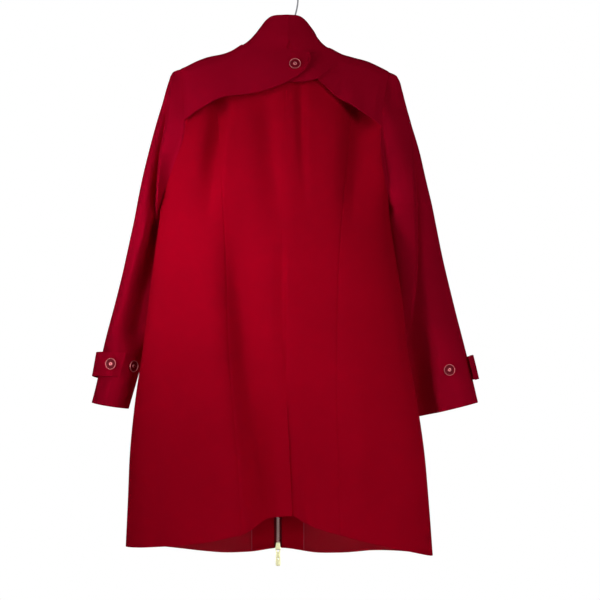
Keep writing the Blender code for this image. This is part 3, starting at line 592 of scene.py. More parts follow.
def bodyGrid(face, leftEdge, rightEdge, shares):
    def turn(drop):
        return mix(leftEdge(drop), rightEdge(drop), shares)

    hem = bodyForm["hem"][face]
    top = settle(lambda drop: topDrop(face, acrossAt(turn(drop), drop)), "top", len(shares))
    low = settle(lambda drop: hem.at("drop", acrossAt(turn(drop), drop)), "low", len(shares))
    cap = (np.arange(grain["capRows"]) / grain["capRows"]) ** grain["capPower"]
    skirt = steps(grain["skirtRows"])
    under = bodyForm["underarm"]
    rows = [mix(top[None, :], under, cap[:, None]), mix(under, low[None, :], skirt[:, None])]
    drop = np.concatenate(rows)
    return np.stack([turn(row) for row in drop]), drop


def sewn(grid, atLeft=True, atRight=True, atTop=True):  # edges run on a little into the seam
    lap = bodyForm["seamLap"]
    out = grid.copy()
    if atLeft:
        out[:, 0] -= unit(grid[:, 1] - grid[:, 0]) * lap
    if atRight:
        out[:, -1] -= unit(grid[:, -2] - grid[:, -1]) * lap
    if atTop:
        out[0] -= unit(grid[1] - grid[0]) * lap
    return out


# Making a cloth piece from a grid of points

sheetCuts = {}  # area of each piece as made, printed at the end


def addPiece(name, mesh, materials, node, body="coat"):
    made = bpy.data.objects.new(name, mesh)
    for material in materials:
        mesh.materials.append(material)
    bpy.context.scene.collection.objects.link(made)
    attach(made, body)
    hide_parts(node)
    return made


def gridCells(rows, columns, present=None, joinedFrom=None):
    number = np.arange((rows + 1) * (columns + 1)).reshape(rows + 1, columns + 1)
    if joinedFrom is not None:
        number[joinedFrom:, -1] = number[joinedFrom:, 0]
    corners = [number[:-1, :-1], number[:-1, 1:], number[1:, 1:], number[1:, :-1]]
    cells = np.stack(corners, axis=-1)
    return cells[present] if present is not None else cells.reshape(-1, 4)


def clothMesh(name, grid, about, present=None, joinedFrom=None):
    cells = gridCells(grid.shape[0] - 1, grid.shape[1] - 1, present, joinedFrom)
    used, cells = np.unique(cells, return_inverse=True)
    cells = cells.reshape(-1, 4)
    points = grid.reshape(-1, 3)[used]
    corner = points[cells]
    normals = np.cross(corner[:, 2] - corner[:, 0], corner[:, 3] - corner[:, 1])
    outward = corner.mean(1) - (points.mean(0) if about is None else np.array(about))
    outward[:, 2] *= 0 if about is not None else 1
    if np.sum(normals * outward) < 0:
        cells = cells[:, ::-1]
    mesh = bpy.data.meshes.new(name)
    mesh.from_pydata((points * mm).tolist(), [], cells.tolist())
    mesh.shade_smooth()
    return mesh


coatAxis = (-4.0, 0.0, 0.0)
clothEdge = {"round": 0.35, "segments": 2, "angle": 50.0}  # how a wall's edges are rounded


def addCloth(name, grid, node, outside=None, inside=None, wall=None, about=coatAxis,
             present=None, joinedFrom=None):
    mesh = clothMesh(name, grid, about, present, joinedFrom)
    sheetCuts[name] = sum(p.area for p in mesh.polygons)
    piece = addPiece(name, mesh, [outside or wool, inside or lining], node)
    thick = piece.modifiers.new("wall", "SOLIDIFY")
    thick.thickness = (wall or bodyForm["wall"]) * mm
    thick.offset = -1
    thick.material_offset = 1
    soft = piece.modifiers.new("folded edge", "BEVEL")
    soft.width = clothEdge["round"] * thick.thickness
    soft.segments = clothEdge["segments"]
    soft.limit_method = "ANGLE"
    soft.angle_limit = math.radians(clothEdge["angle"])
    return piece


# Back and fronts

vent = {"top": 705.0, "fade": 45.0, "underlap": 34.0, "dip": 2.8, "dipReach": 26.0, "lapColumns": 14}
zipForm = {
    "slot": 5.5,
    "tapeEdge": 0.4,
    "tapeWidth": 16.0,
    "tapeHalf": 0.4,
    "tapeGap": 1.5,
    "behindWall": 1.1,
}
facingForm = {
    "inner": 7.0,
    "outer": 47.0,
    "topGap": 3.0,
    "hemGap": 2.0,
    "wall": 1.0,
    "columns": 24,
    "boundColumns": 1,
}


def addBack():
    edgeDrops = {}
    for side, seam in ((left, "backLeft"), (right, "backRight")):
        ends = [edgeTurn(side), seamTurn(seam)][::-side]
        turn, drop = bodyGrid(back, *ends, steps(grain["sideColumns"]))
        name = "backSide" + sideName[side]
        grid = sewn(bodyPoints(back, turn, drop))
        addCloth(name, grid, "back_side_" + sideWord[side])
        edgeDrops[side] = drop[: grain["capRows"] + 1, 0 if side == left else -1]
    turn, drop = bodyGrid(back, seamTurn("backLeft"), seamTurn("centre"), steps(grain["centreColumns"]))
    grid = sewn(bodyPoints(back, turn, drop))
    addCloth("backCentreLeft", grid, "back_centre_left")
    addVentPanel()
    return edgeDrops


def addVentPanel():  # below the vent's top its edge dips and runs on under the left panel
    turn, drop = bodyGrid(back, seamTurn("centre"), seamTurn("backRight"), steps(grain["centreColumns"]))
    points, normals = bodyPoints(back, turn, drop), bodyNormals(back, turn, drop)
    fromSeam = points[:, :, 0] - points[:, :1, 0]
    dip = vent["dip"] * ease((drop - vent["top"]) / vent["fade"]) * ease(1 - fromSeam / vent["dipReach"])
    outer = points - normals * dip[:, :, None]
    count = vent["lapColumns"]
    lapDrop = np.repeat(drop[:, :1], count, axis=1)
    lapAcross = bodyForm["seams"].at("centre", lapDrop) - np.linspace(vent["underlap"], 0, count + 1)[:-1]
    lapTurn = turnAt(lapAcross, lapDrop)
    lap = bodyPoints(back, lapTurn, lapDrop) - bodyNormals(back, lapTurn, lapDrop) * vent["dip"]
    whole = sewn(np.concatenate([lap, outer], axis=1), atLeft=False)
    present = np.ones((whole.shape[0] - 1, whole.shape[1] - 1), bool)
    present[:, :count] = drop[:-1, :1] >= vent["top"] + vent["fade"]
    addCloth("backCentreRight", whole, "back_centre_right", present=present)


def bindEdge(piece, side):  # the facing's outer edge, in its own cloth
    piece.data.materials.append(binding)
    piece.data.materials.append(binding)
    columns = facingForm["columns"]
    for number, face in enumerate(piece.data.polygons):
        column = number % columns
        if (column if side == left else columns - 1 - column) < facingForm["boundColumns"]:
            face.material_index = 2


def addFronts():
    for side in (left, right):
        ends = [edgeTurn(side), seamTurn("zip", side * zipForm["slot"])][::-side]
        turn, drop = bodyGrid(front, *ends, steps(grain["frontColumns"]))
        name = "front" + sideName[side]
        addCloth(name, sewn(bodyPoints(front, turn, drop)), "front_" + sideWord[side])
        widths = (facingForm["outer"], facingForm["inner"])
        ends = [seamTurn("zip", side * width) for width in widths][::-side]
        turn, drop = bodyGrid(front, *ends, steps(facingForm["columns"]))
        drop = drop + np.linspace(facingForm["topGap"], -facingForm["hemGap"], len(drop))[:, None]
        sunk = bodyForm["wall"] + 2 * zipForm["behindWall"]
        grid = sewn(bodyPoints(front, turn, drop) - bodyNormals(front, turn, drop) * sunk)
        name = "facing" + sideName[side]
        piece = addCloth(name, grid, "front_facing_" + sideWord[side], facingWool,
                         facingWool, facingForm["wall"])
        bindEdge(piece, side)


edgeDrops = addBack()
addFronts()
print("body panels made")

# Sleeves: open towards the armhole above the underarm, closed tubes below it

sleeveForm = {
    "cuffDrop": {left: (723.0, 734.0), right: (723.0, 749.0)},  # outer edge, inner edge
    "sections": {
        left: Sizes(
            "drop outer inner depth halfDepth",
            (139.2, -188.6, -188, 0, 1),
            (142, -197.5, -188, 0, 5),
            (149, -204.5, -188, 0, 12),
            (158, -208, -188, 0, 18),
            (175, -213.5, -188, -2, 24),
            (195, -219, -188, -4, 29),
            (228, -229, -188, -6, 35),
            (280, -243, -192, -10, 40),
            (333, -255.5, -208, -12, 42),
            (381, -265, -223, -4, 42),
            (405, -270, -222, 5, 44),
            (430, -276, -223, 15, 46),
            (455, -282, -226, 24, 47),
            (500, -292.5, -231, 33, 48),
            (543, -303.5, -237, 36, 48),
            (630, -326, -252, 37, 48),
            (683, -336, -266, 36, 48),
            (735, -349, -281, 35, 49),
        ),
        right: Sizes(
            "drop outer inner depth halfDepth",
            (144.5, 177.6, 177, 0, 1),
            (149, 187, 177, 0, 7),
            (158, 194, 175, 0, 14),
            (175, 199.5, 172, -2, 21),
            (195, 205, 168, -4, 26),
            (228, 215, 162, -6, 31),
            (280, 231, 161, -10, 36),
            (333, 243, 168, -12, 37),
            (381, 254.5, 177, -4, 36),
            (405, 260, 172, 5, 37),
            (430, 265.5, 175, 15, 38),
            (455, 271, 179, 24, 38),
            (500, 281.5, 186, 33, 38),
            (543, 292, 192, 36, 37),
            (630, 313, 205, 37, 36),
            (683, 325.5, 214, 37, 35),
            (750, 341, 226, 37, 35),
        ),
    },
    # ridge, depth, step: where the fold below the shoulder stands, its valley outside, a step at the seam
    # sink, start, span, level: how far the inner part of the back falls in towards a level before the
    # middle of the section, from a share of the width over a further share
    # flat, turn: share of the depth that the back keeps, and how steeply it slopes away outwards
    "crease": {
        left: Sizes(
            "drop ridge depth step sink start span level flat turn",
            (139, -197, 0, 0, 0, 0.5, 0.4, 12, 1, 0),
            (160, -202, 4, 0, 0, 0.5, 0.4, 12, 1, 0),
            (195, -205, 15, 0, 0, 0.5, 0.4, 12, 1, 0),
            (232, -209, 25, -2, 0, 0.5, 0.4, 12, 1, 0),
            (265, -215, 30, -2, 0, 0.5, 0.4, 12, 1, 0),
            (290, -219, 33, 0, 0, 0.5, 0.4, 12, 1, 0),
            (330, -223, 36, 0, 0, 0.5, 0.4, 12, 1, 0),
            (381, -227, 30, 0, 0.2, 0.5, 0.4, 12, 1, 0),
            (410, -229, 12, 0, 0.8, 0.45, 0.4, 12, 1, 0),
            (440, -232, 3, 0, 0.9, 0.4, 0.45, 10, 1, 0),
            (480, -236, 0, 0, 0.9, 0.25, 0.6, 2, 1, 0),
            (530, -241, 0, 0, 0.85, 0.1, 0.7, -4, 1, 0),
            (600, -247, 0, 0, 0.8, 0.1, 0.7, -4, 1, 0),
            (645, -258, 0, 0, 0.2, 0.3, 0.6, -4, 1, 0),
            (735, -281, 0, 0, 0.12, 0.3, 0.6, -4, 1, 0),
        ),
        right: Sizes(
            "drop ridge depth step sink start span level flat turn",
            (144, 196, 0, 0, 0, 0.42, 0.24, -4, 1, 0),
            (185, 206, 2, 0, 0, 0.42, 0.24, -4, 1, 0.1),
            (217, 211, 4, 0, 0, 0.42, 0.24, -4, 1, 0.3),
            (245, 213, 8, 3, 0, 0.42, 0.24, -4, 0.95, 0.35),
            (281, 215, 13, 8, 0, 0.42, 0.24, -4, 0.9, 0.4),
            (333, 218, 14, 12, 0, 0.42, 0.24, -4, 0.85, 0.4),
            (381, 220, 14, 12, 0, 0.42, 0.24, -4, 0.85, 0.4),
            (430, 222, 14, 0, 0, 0.42, 0.24, -4, 0.9, 0.4),
            (480, 222, 14, 0, 0.1, 0.42, 0.24, -4, 0.95, 0.4),
            (526, 219, 10, 0, 0.4, 0.42, 0.24, -4, 1, 0.35),
            (570, 214, 4, 0, 0.75, 0.42, 0.46, -2, 1, 0.3),
            (610, 208, 0, 0, 0.9, 0.42, 0.54, 0, 1, 0.15),
            (660, 211, 0, 0, 0.95, 0.5, 0.46, 0, 1, 0.02),
            (700, 214, 0, 0, 0.95, 0.58, 0.4, 0, 1, 0),
            (750, 226, 0, 0, 0.8, 0.58, 0.4, 0, 1, 0),
        ),
    },
    "valleyEdge": 6.0,
    "valleyTail": {left: 18.0, right: 13.0},
    "evenSlope": {left: 0.0, right: 0.35},  # how straight the sunken part falls
    "tuck": 1.0,  # how far its edge runs under the body at the armhole
    "tuckDepth": 0.8,
    "tuckFrom": (225.0, 30.0),  # drop and span over which the back edge goes under
    "ease": (1.02, 0.2),  # the section is this much deeper than the armhole
    # the way from the armhole seam to the ridge
    "seam": {
        "turnStep": 0.02,
        "slope": (-0.2, 0.6),
        "power": 2.5,
        "stepShare": 0.12,
        "reach": (4.0, 10.0),
        "fade": 90.0,  # above the underarm
    },
    "cut": {
        left: {"flat": (0.270, 0.600), "area": 0.124},
        right: {"flat": (0.270, 0.615), "area": 0.135},
    },
}


def creasePush(side, across, drop):
    table = sleeveForm["crease"][side]
    outside = (across - table.at("ridge", drop)) * side
    edge = sleeveForm["valleyEdge"]
    tail = sleeveForm["valleyTail"][side]
    return table.at("depth", drop) * ease(outside / edge) * np.exp(-np.clip(outside - edge, 0, None) / tail)


def oval(side, outer, inner, middle, half, opening, angle, flat):  # angle 0 inside, a quarter turn behind
    halfWidth = np.abs(inner - outer) / (1 + np.cos(opening))
    centre = outer - side * halfWidth
    half = half * np.where(np.sin(angle) > 0, flat, 1.0)
    return centre - side * halfWidth * np.cos(angle), middle - half * np.sin(angle)


def carried(angle):  # a push on the back takes the outer edge along and fades out over the front
    inner = np.sqrt(np.clip(np.sin(angle), 0, 1))
    return np.where(angle < math.pi / 2, inner, ease(3 - 2 * angle / math.pi))


def sleeveLow(side, along, angle):
    under = bodyForm["underarm"]
    outerDrop, innerDrop = [mix(under, low, along) for low in sleeveForm["cuffDrop"][side]]
    table = sleeveForm["sections"][side]
    outer, inner = table.at("outer", outerDrop), table.at("inner", innerDrop)
    middleDrop = (outerDrop + innerDrop) / 2
    depth, half = table.at("depth", middleDrop), table.at("halfDepth", middleDrop)
    crease = sleeveForm["crease"][side]
    across, out = oval(side, outer, inner, depth, half, 0.0, angle, crease.at("flat", middleDrop))
    inward = (across - outer) / (inner - outer)
    drop = mix(outerDrop, innerDrop, inward)
    turned = crease.at("turn", drop) * np.abs(across - inner)
    out = out + (creasePush(side, across, drop) + turned) * carried(angle)
    fall = np.clip((inward - crease.at("start", drop)) / crease.at("span", drop), 0, 1)
    sunk = mix(ease(fall), fall, sleeveForm["evenSlope"][side]) * (np.sin(angle) > 0)
    out = mix(out, np.maximum(out, depth + crease.at("level", drop)), sunk * crease.at("sink", drop))
    return np.stack(np.broadcast_arrays(across, out, -drop), axis=-1)


def sleeveSpot(side, along, angle, lift):
    step = 0.01
    down = sleeveLow(side, along + step, angle) - sleeveLow(side, along - step, angle)
    roundIt = sleeveLow(side, along, angle + step) - sleeveLow(side, along, angle - step)
    normal = unit(np.cross(down, roundIt)) * side
    return sleeveLow(side, along, angle) + normal * np.asarray(lift)[..., None], normal


def seamBlend(side, drop, across, out):  # a smooth way from the body's back to the sleeve's ridge
    table, form = sleeveForm["crease"][side], sleeveForm["seam"]
    turn = edgeTurn(side)(drop)
    edge, inner = [bodyPoints(back, turn - side * step, drop) for step in (0, form["turnStep"])]
    slope = (edge[:, 1] - inner[:, 1]) / np.maximum((edge[:, 0] - inner[:, 0]) * side, 0.1)
    reach = np.maximum((table.at("ridge", drop) - edge[:, 0]) * side, 1.0)
    outward = (across - across[:, :1]) * side
    middle = across.shape[1] // 2 + 1
    blended = out.copy()
    for row in range(len(drop)):
        high = np.interp(reach[row], outward[row, :middle], out[row, :middle])
        t = np.clip(outward[row, :middle] / reach[row], 0, 1)
        start = edge[row, 1] + reach[row] * np.clip(slope[row], *form["slope"]) * t * (1 - t) ** 2
        step = table.at("step", drop[row]) * ease(t / form["stepShare"]) * (1 - t)
        smooth = mix(start, high, t ** form["power"]) + step
        least, span = form["reach"]
        above = ease((bodyForm["underarm"] - drop[row]) / form["fade"])
        share = ease((reach[row] - least) / span) * above * (t < 1)
        blended[row, :middle] = mix(out[row, :middle], smooth, share)
    return blended


def sleeveCap(side, drop):
    edge = edgeTurn(side)(drop)
    ends = [bodyPoints(face, edge, drop) for face in (back, front)]
    halfChord = (ends[1][:, 1] - ends[0][:, 1]) / 2
    middle = (ends[1][:, 1] + ends[0][:, 1]) / 2
    table = sleeveForm["sections"][side]
    fuller, more = sleeveForm["ease"]
    half = np.maximum(halfChord * fuller + more, table.at("halfDepth", drop))
    opening = np.arcsin(np.clip(halfChord / half, 0, 1))
    angle = np.linspace(opening, 2 * math.pi - opening, grain["sleeveColumns"] + 1, axis=1)
    columns = [v[:, None] for v in (table.at("outer", drop), ends[0][:, 0], middle, half, opening)]
    flat, turn = [sleeveForm["crease"][side].at(word, drop)[:, None] for word in ("flat", "turn")]
    across, out = oval(side, *columns, angle, flat)
    level = np.repeat(drop[:, None], grain["sleeveColumns"] + 1, axis=1)
    turned = turn * np.abs(across - ends[0][:, :1])
    out = out + (creasePush(side, across, level) + turned) * carried(angle)
    points = np.stack([across, seamBlend(side, drop, across, out), -level], axis=-1)
    tuck, (start, span) = sleeveForm["tuck"], sleeveForm["tuckFrom"]
    under = tuck * ease((drop - start) / span)[:, None]
    for column, face, end in ((0, back, ends[0]), (-1, front, ends[1])):
        sunk = bodyNormals(face, edge, drop) * sleeveForm["tuckDepth"] * (under if face == back else tuck)
        points[:, column] = end - sunk - np.array([side * tuck, 0, 0])
    return points


def addSleeve(side, edgeDrop):
    count = grain["capRows"]
    cap = sleeveCap(side, edgeDrop)
    along = steps(grain["sleeveRows"])[1:, None]
    angle = np.linspace(0, 2 * math.pi, grain["sleeveColumns"] + 1)[None, :]
    grid = np.concatenate([cap, sleeveLow(side, along, angle)])
    addCloth("sleeve" + sideName[side], grid, "sleeve_" + sideWord[side],
             paintedCoolLightWool, about=None, joinedFrom=count)


for side in (left, right):
    addSleeve(side, edgeDrops[side])
print("sleeves made")

# Storm flaps over the shoulder blades, hung from the shoulder and neck seams

flapForm = {
    "wall": 2.6,
    "edge": {
        left: Sizes(
            "across drop",
            (-190, 240),
            (-176, 232),
            (-152, 216),
            (-126, 202),
            (-92, 194),
            (-65, 189),
            (-39, 183),
            (-13, 174),
            (6, 165),
            (21, 155),
            (31, 144),
            (36, 131),
            (37.5, 121),
        ),
        right: Sizes(
            "across drop",
            (-46, 126),
            (-34, 144),
            (-13, 158),
            (4, 165),
            (21, 167),
            (38, 166),
            (52, 164),
            (60, 170),
            (82, 191),
            (108, 208),
            (134, 223),
            (163, 242),
            (180, 252),
        ),
    },
    "end": {left: 37.0, right: -45.0},
    "hang": {left: 8.0, right: 4.0},
    "lift": 1.0,
    "sewnDepth": 2.6,  # sunk along the shoulder and armhole seams, where it is sewn in, but not at the neck
    "sewnReach": 18.0,
    "neckReach": 30.0,
    "waves": {left: [(-104.0, 28.0, 9.0)], right: [(112.0, 18.0, 6.0)]},  # across, width, height
    "step": ((52.0, 164.0), (92.0, 127.0)),
    "stepHeight": 6.0,
    "stepReach": 40.0,
    "stepEdge": 2.0,
    "flatFrom": (8.0, 45.0),  # the right flap lies flat where the left one covers it
    "riseFrom": (-125.0, 80.0),  # the left flap rises over the right one's end
    "blend": 2.0,
    "tip": (-5.0, 40.0, 3.0),  # the left flap's end stands off further
    "faceFrom": (30.0, 80.0),  # past the left flap's end, where the faces pass from left to right
    "armholeGap": 0.4,
    "topGap": 0.7,
    "spacing": (1.3, 1.6),  # powers that gather columns at its end and rows at its top
    "startDrop": 150.0,
    "columns": 120,
    "rows": 60,
    "cut": {
        left: {"flat": (0.235, 0.120), "area": 0.0191},
        right: {"flat": (0.235, 0.125), "area": 0.0171},
    },
}


def flapShare(side, across, drop):
    top = topDrop(back, across)
    low = flapForm["edge"][side].at("drop", across)
    return np.clip((drop - top) / np.maximum(low - top, 1), 0, 1)


def flapStep(across, drop):  # the right flap's raised end, dying out along a slanting line
    (x0, d0), (x1, d1) = flapForm["step"]
    length = math.hypot(x1 - x0, d1 - d0)
    along = ((across - x0) * (x1 - x0) + (drop - d0) * (d1 - d0)) / length**2
    beyond = ((across - x0) * (d0 - d1) + (drop - d0) * (x1 - x0)) / length
    height = flapForm["stepHeight"] * ease(1 - along)
    soft = ease(0.5 - beyond / (2 * flapForm["stepEdge"]))
    return height * np.exp(np.minimum(beyond, 0) / flapForm["stepReach"]) * soft


def flapSewn(side, across, drop):
    seam = np.abs(across - bodyForm["armhole"][side].at("across", drop))
    beside = ease((across - bodyForm["neck"][side]) * side / flapForm["neckReach"])
    armhole = 1 - ease(seam / flapForm["sewnReach"])
    shoulder = (1 - ease((drop - topDrop(back, across)) / flapForm["sewnReach"])) * beside
    return flapForm["sewnDepth"] * np.maximum(armhole, shoulder)


def flapLift(side, across, drop):
    share = flapShare(side, across, drop) ** 2
    if side == right:
        start, span = flapForm["flatFrom"]
        share = share * ease((across - start) / span)
    lift = flapForm["lift"] + flapForm["hang"][side] * share - flapSewn(side, across, drop)
    for middle, width, height in flapForm["waves"][side]:
        lift = lift + height * share * np.exp(-(((across - middle) / width) ** 2))
    if side == right:
        return lift + flapStep(across, drop)
    under = flapLift(right, across, drop) + flapForm["wall"] + flapForm["lift"] + bodyForm["seamGap"]
    rise = np.logaddexp(0, (under - lift) / flapForm["blend"]) * flapForm["blend"]
    start, span = flapForm["riseFrom"]
    tipStart, tipSpan, tipHeight = flapForm["tip"]
    lift = lift + tipHeight * ease((across - tipStart) / tipSpan) * share
    return lift + rise * ease((across - start) / span)


def flapTop(across, drop):  # how far the flaps' faces stand off the back
    past, span = flapForm["faceFrom"]
    over = ease((flapForm["end"][left] + past - across) / span)
    return mix(*[flapLift(side, across, drop) for side in (right, left)], over) + flapForm["wall"]


def flapSpot(side, across, drop, extra=0.0):
    turn = turnAt(across, drop)
    normals = bodyNormals(back, turn, drop, 0.0)
    lift = flapLift(side, across, drop) + extra
    return bodyPoints(back, turn, drop, 0.0) + normals * np.asarray(lift)[..., None], normals


def addFlap(side):
    columnPower, rowPower = flapForm["spacing"]
    share = 1 - (1 - steps(flapForm["columns"])[None, :]) ** columnPower
    down = steps(flapForm["rows"])[:, None] ** rowPower
    drop = np.full((flapForm["rows"] + 1, flapForm["columns"] + 1), flapForm["startDrop"])
    for _ in range(settling["rounds"]):
        start = bodyForm["armhole"][side].at("across", drop) - side * flapForm["armholeGap"]
        across = mix(start, flapForm["end"][side], share)
        top = topDrop(back, across) + flapForm["topGap"]
        drop = mix(drop, mix(top, flapForm["edge"][side].at("drop", across), down), settling["step"])
    grid, _ = flapSpot(side, across, drop, flapForm["wall"])
    name = "backFlap" + sideName[side]
    addCloth(name, grid, "back_flap_" + sideWord[side], paintedCoolLightWool, paintedCoolLightWool,
             flapForm["wall"])


for side in (left, right):
    addFlap(side)
print("storm flaps made")

# Collar: a funnel from the neck's edge to its own top edge

collarForm = {
    "wall": 3.0,
    "centre": -4.0,
    "top": Sizes(
        "angle across out drop",
        (0, 0, -13, 45),
        (25, 21, -11, 46),
        (50, 33, -5, 52),
        (75, 44, 5, 64),
        (90, 51, 13, 73),
        (115, 57, 32, 91),
        (140, 44, 49, 106),
        (160, 24, 58, 114),
        (180, 0.4, 62, 118),
    ),
    "lift": 0.6,  # over the front's neck edge
    "under": 0.4,  # how far below the flaps' faces its base lies
    "overlap": 2.0,  # how far its base runs down behind the flaps' edges
    "curve": 0.36,  # how long it follows the shoulders' slope before it rises
    "meet": 0.4,
    "rows": 44,
    "columns": 120,  # from the centre back to one front edge
    "neckAngle": 75.0,  # where the neck's edge passes from back to front
    "zipAngle": 165.0,
    "flapFrom": (20.0, 30.0),  # how far forward its base leaves the flaps, over what span
    "reliefFrom": (8.0, 16.0),  # how far forward the next three fade
    "crease": {"height": 8.0, "width": 26.0, "low": 110.0, "fade": 30.0},  # upright, at the centre back
    "edgeLine": {"below": 5.5, "width": 1.1, "depth": 0.5},
    "dimple": {
        "across": 2.0,
        "drop": 98.0,
        "halfWidth": 5.0,
        "halfHeight": 7.0,
        "depth": 2.6,
        "waist": 0.6,
        "widening": 0.5,
        "least": 0.15,
        "rim": (1.3, 0.7),
    },
    "cut": {"flat": (0.41, 0.092), "area": 0.0192},
}


def neckEdge(side, angle):
    neck = bodyForm["neck"][side]
    neckAngle, zipAngle = collarForm["neckAngle"], collarForm["zipAngle"]
    zipAcross = bodyForm["seams"].at("zip", bodyForm["neckDrop"][front])
    share = np.clip(angle / neckAngle, 0, 1)
    toZip = 1 - np.cos(np.clip((angle - neckAngle) / (zipAngle - neckAngle), 0, 1) * math.pi / 2)
    toMiddle = np.clip((angle - zipAngle) / (180 - zipAngle), 0, 1)
    slotEdge = zipAcross + side * zipForm["slot"]

    def stretch(face, start, end, part):
        turns = [turnAt(x, topDrop(face, x)) for x in (np.array(start), np.array(end))]
        turn = mix(*turns, part)
        drop = settle(lambda d: topDrop(face, acrossAt(turn, d)), "top", len(turn))
        return bodyPoints(face, turn, drop), bodyNormals(face, turn, drop)

    pieces = [
        stretch(back, bodyForm["seams"].at("centre", bodyForm["neckDrop"][back]), neck, share),
        stretch(front, neck, slotEdge, toZip),
        stretch(front, slotEdge, zipAcross + side * collarForm["meet"], toMiddle),
    ]
    choice = (angle > neckAngle).astype(int) + (angle > zipAngle)
    return [np.stack([pieces[c][k][i] for i, c in enumerate(choice)]) for k in (0, 1)]


def collarRelief(grid, below):  # how far the back of the collar is pushed in
    x, drop = grid[:, :, 0], -grid[:, :, 2]
    start, span = collarForm["reliefFrom"]
    behind = ease((start - grid[:, :, 1]) / span)
    crease, line, dimple = [collarForm[word] for word in ("crease", "edgeLine", "dimple")]
    above = ease((crease["low"] - drop) / crease["fade"])
    push = -crease["height"] * np.exp(-np.abs(x) / crease["width"]) * above
    push = push + line["depth"] * np.exp(-(((below - line["below"]) / line["width"]) ** 2))
    down = (drop - dimple["drop"]) / dimple["halfHeight"]
    narrow = dimple["halfWidth"] * np.clip(down * dimple["widening"] + dimple["waist"], dimple["least"], 1)
    away = ((x - dimple["across"]) / narrow) ** 2 + down**2
    rim, soft = dimple["rim"]
    return behind * (push + dimple["depth"] * ease((rim - away) / soft))


def addCollar():
    half = np.linspace(0, 180, collarForm["columns"] + 1)
    columns = []
    for side in (left, right):
        base, normals = neckEdge(side, half)
        flap = flapTop(base[:, 0], -base[:, 2]) - collarForm["under"]
        start, span = collarForm["flapFrom"]
        lift = mix(collarForm["lift"], flap, ease((start - base[:, 1]) / span))
        base = base + normals * lift[:, None]
        table = collarForm["top"]
        top = [collarForm["centre"] + side * table.at("across", half)]
        top += [table.at("out", half), -table.at("drop", half)]
        columns.append([base, np.stack(top, axis=-1), normals])
    base, top = [np.concatenate([columns[0][k][::-1], columns[1][k][1:]]) for k in (0, 1)]
    normals = np.concatenate([columns[0][2][::-1], columns[1][2][1:]])
    height = np.linalg.norm(top - base, axis=-1, keepdims=True)
    slope = unit(np.cross(normals, np.gradient(base, axis=0)))
    bend = base + slope * height * collarForm["curve"]
    base = base - slope * collarForm["overlap"]
    share = np.linspace(1, 0, collarForm["rows"] + 1)[:, None, None]
    grid = mix(mix(base[None], bend[None], share), mix(bend[None], top[None], share), share)
    grid[:, :, 1] += collarRelief(grid, (1 - share[:, :, 0]) * height[None, :, 0])
    addCloth("standCollar", grid, "collar", paintedCoolLightWool, paintedCoolLightWool, collarForm["wall"])


addCollar()
print("collar made")

# Cuff tabs: angles round the sleeve from its inner edge over the back, places down the sleeve

Tab = namedtuple("Tab", "end endAlong outerAlong root halfHeight endLift outerLift")
tabForm = {
    "wall": 2.0,
    "corner": 5.0,
    "rootLift": 0.6,
    left: Tab(80.0, 0.785, 0.81, 300.0, 21.0, 2.4, 9.0),
    right: Tab(155.0, 0.825, 0.825, 325.0, 21.0, 7.0, 9.5),
    "columns": 90,
    "rows": 26,
    "cut": {
        left: {"flat": (0.190, 0.042), "area": 0.0078},
        right: {"flat": (0.170, 0.042), "area": 0.0070},
    },
}


def tabLift(side, angle):
    tab = tabForm[side]
    fromEnd = np.clip((angle - tab.end) / (180 - tab.end), 0, 1)
    fromRoot = np.clip((tab.root - angle) / (tab.root - 180), 0, 1)
    nearEnd = mix(tab.endLift, tab.outerLift, ease(fromEnd))
    return np.where(angle < 180, nearEnd, mix(tabForm["rootLift"], tab.outerLift, ease(fromRoot)))


def tabSpot(side, angle, offset, extra):
    tab = tabForm[side]
    outerDrop = sleeveForm["cuffDrop"][side][0]
    slant = np.clip((angle - tab.end) / max(180 - tab.end, 1), 0, 2)
    along = mix(tab.endAlong, tab.outerAlong, slant) + offset / (outerDrop - bodyForm["underarm"])
    return sleeveSpot(side, along, np.radians(angle), tabLift(side, angle) + extra)


def addTab(side):
    tab = tabForm[side]
    angle = np.linspace(tab.end, tab.root, tabForm["columns"] + 1)[None, :]
    middle, _ = tabSpot(side, angle, 0.0, tabForm["wall"])
    fromEnd = np.concatenate([[0], np.cumsum(np.linalg.norm(np.diff(middle[0], axis=0), axis=1))])
    corner = tabForm["corner"]
    dip = corner - np.sqrt(corner**2 - np.clip(corner - fromEnd, 0, corner) ** 2)
    half = (tab.halfHeight - dip)[None, :]
    grid, _ = tabSpot(side, angle, np.linspace(-1, 1, tabForm["rows"] + 1)[:, None] * half, tabForm["wall"])
    addCloth("cuffTab" + sideName[side], grid, "cuff_tab_" + sideWord[side],
             paintedCoolLightWool, paintedCoolLightWool, tabForm["wall"], None)


for side in (left, right):
    addTab(side)
print("cuff tabs made")

# Buttons: gold rim and boss, a sunk red band, two rows of thread

buttonForm = {
    "shank": 1.0,
    "segments": 56,
    "profile": [  # radius, height, material of the stretch that begins here
        (0.0, -1.0, 2),
        (2.0, -1.0, 2),
        (2.0, 0.0, 0),
        (8.6, 0.0, 0),
        (9.5, 0.35, 0),
        (10.0, 1.2, 0),
        (9.95, 2.2, 0),
        (9.75, 2.95, 0),
        (9.4, 3.2, 0),
        (9.0, 2.95, 0),
        (8.8, 2.3, 1),
        (8.4, 2.05, 1),
        (3.6, 2.0, 1),
        (3.3, 2.2, 0),
        (3.0, 2.9, 0),
        (2.6, 3.25, 0),
        (1.8, 3.2, 0),
        (0.0, 3.0, 0),
    ],
    "thread": {"angle": 40.0, "apart": 0.4, "height": 3.15, "half": (0.45, 2.0, 0.45), "rings": (12, 8)},
    "flap": (12.3, 138.0),  # across, drop
    "spare": {left: (50.0, 0.79), right: (107.0, 0.81)},  # angle, place down the sleeve
    "tab": {left: 108.0, right: 212.0},
}


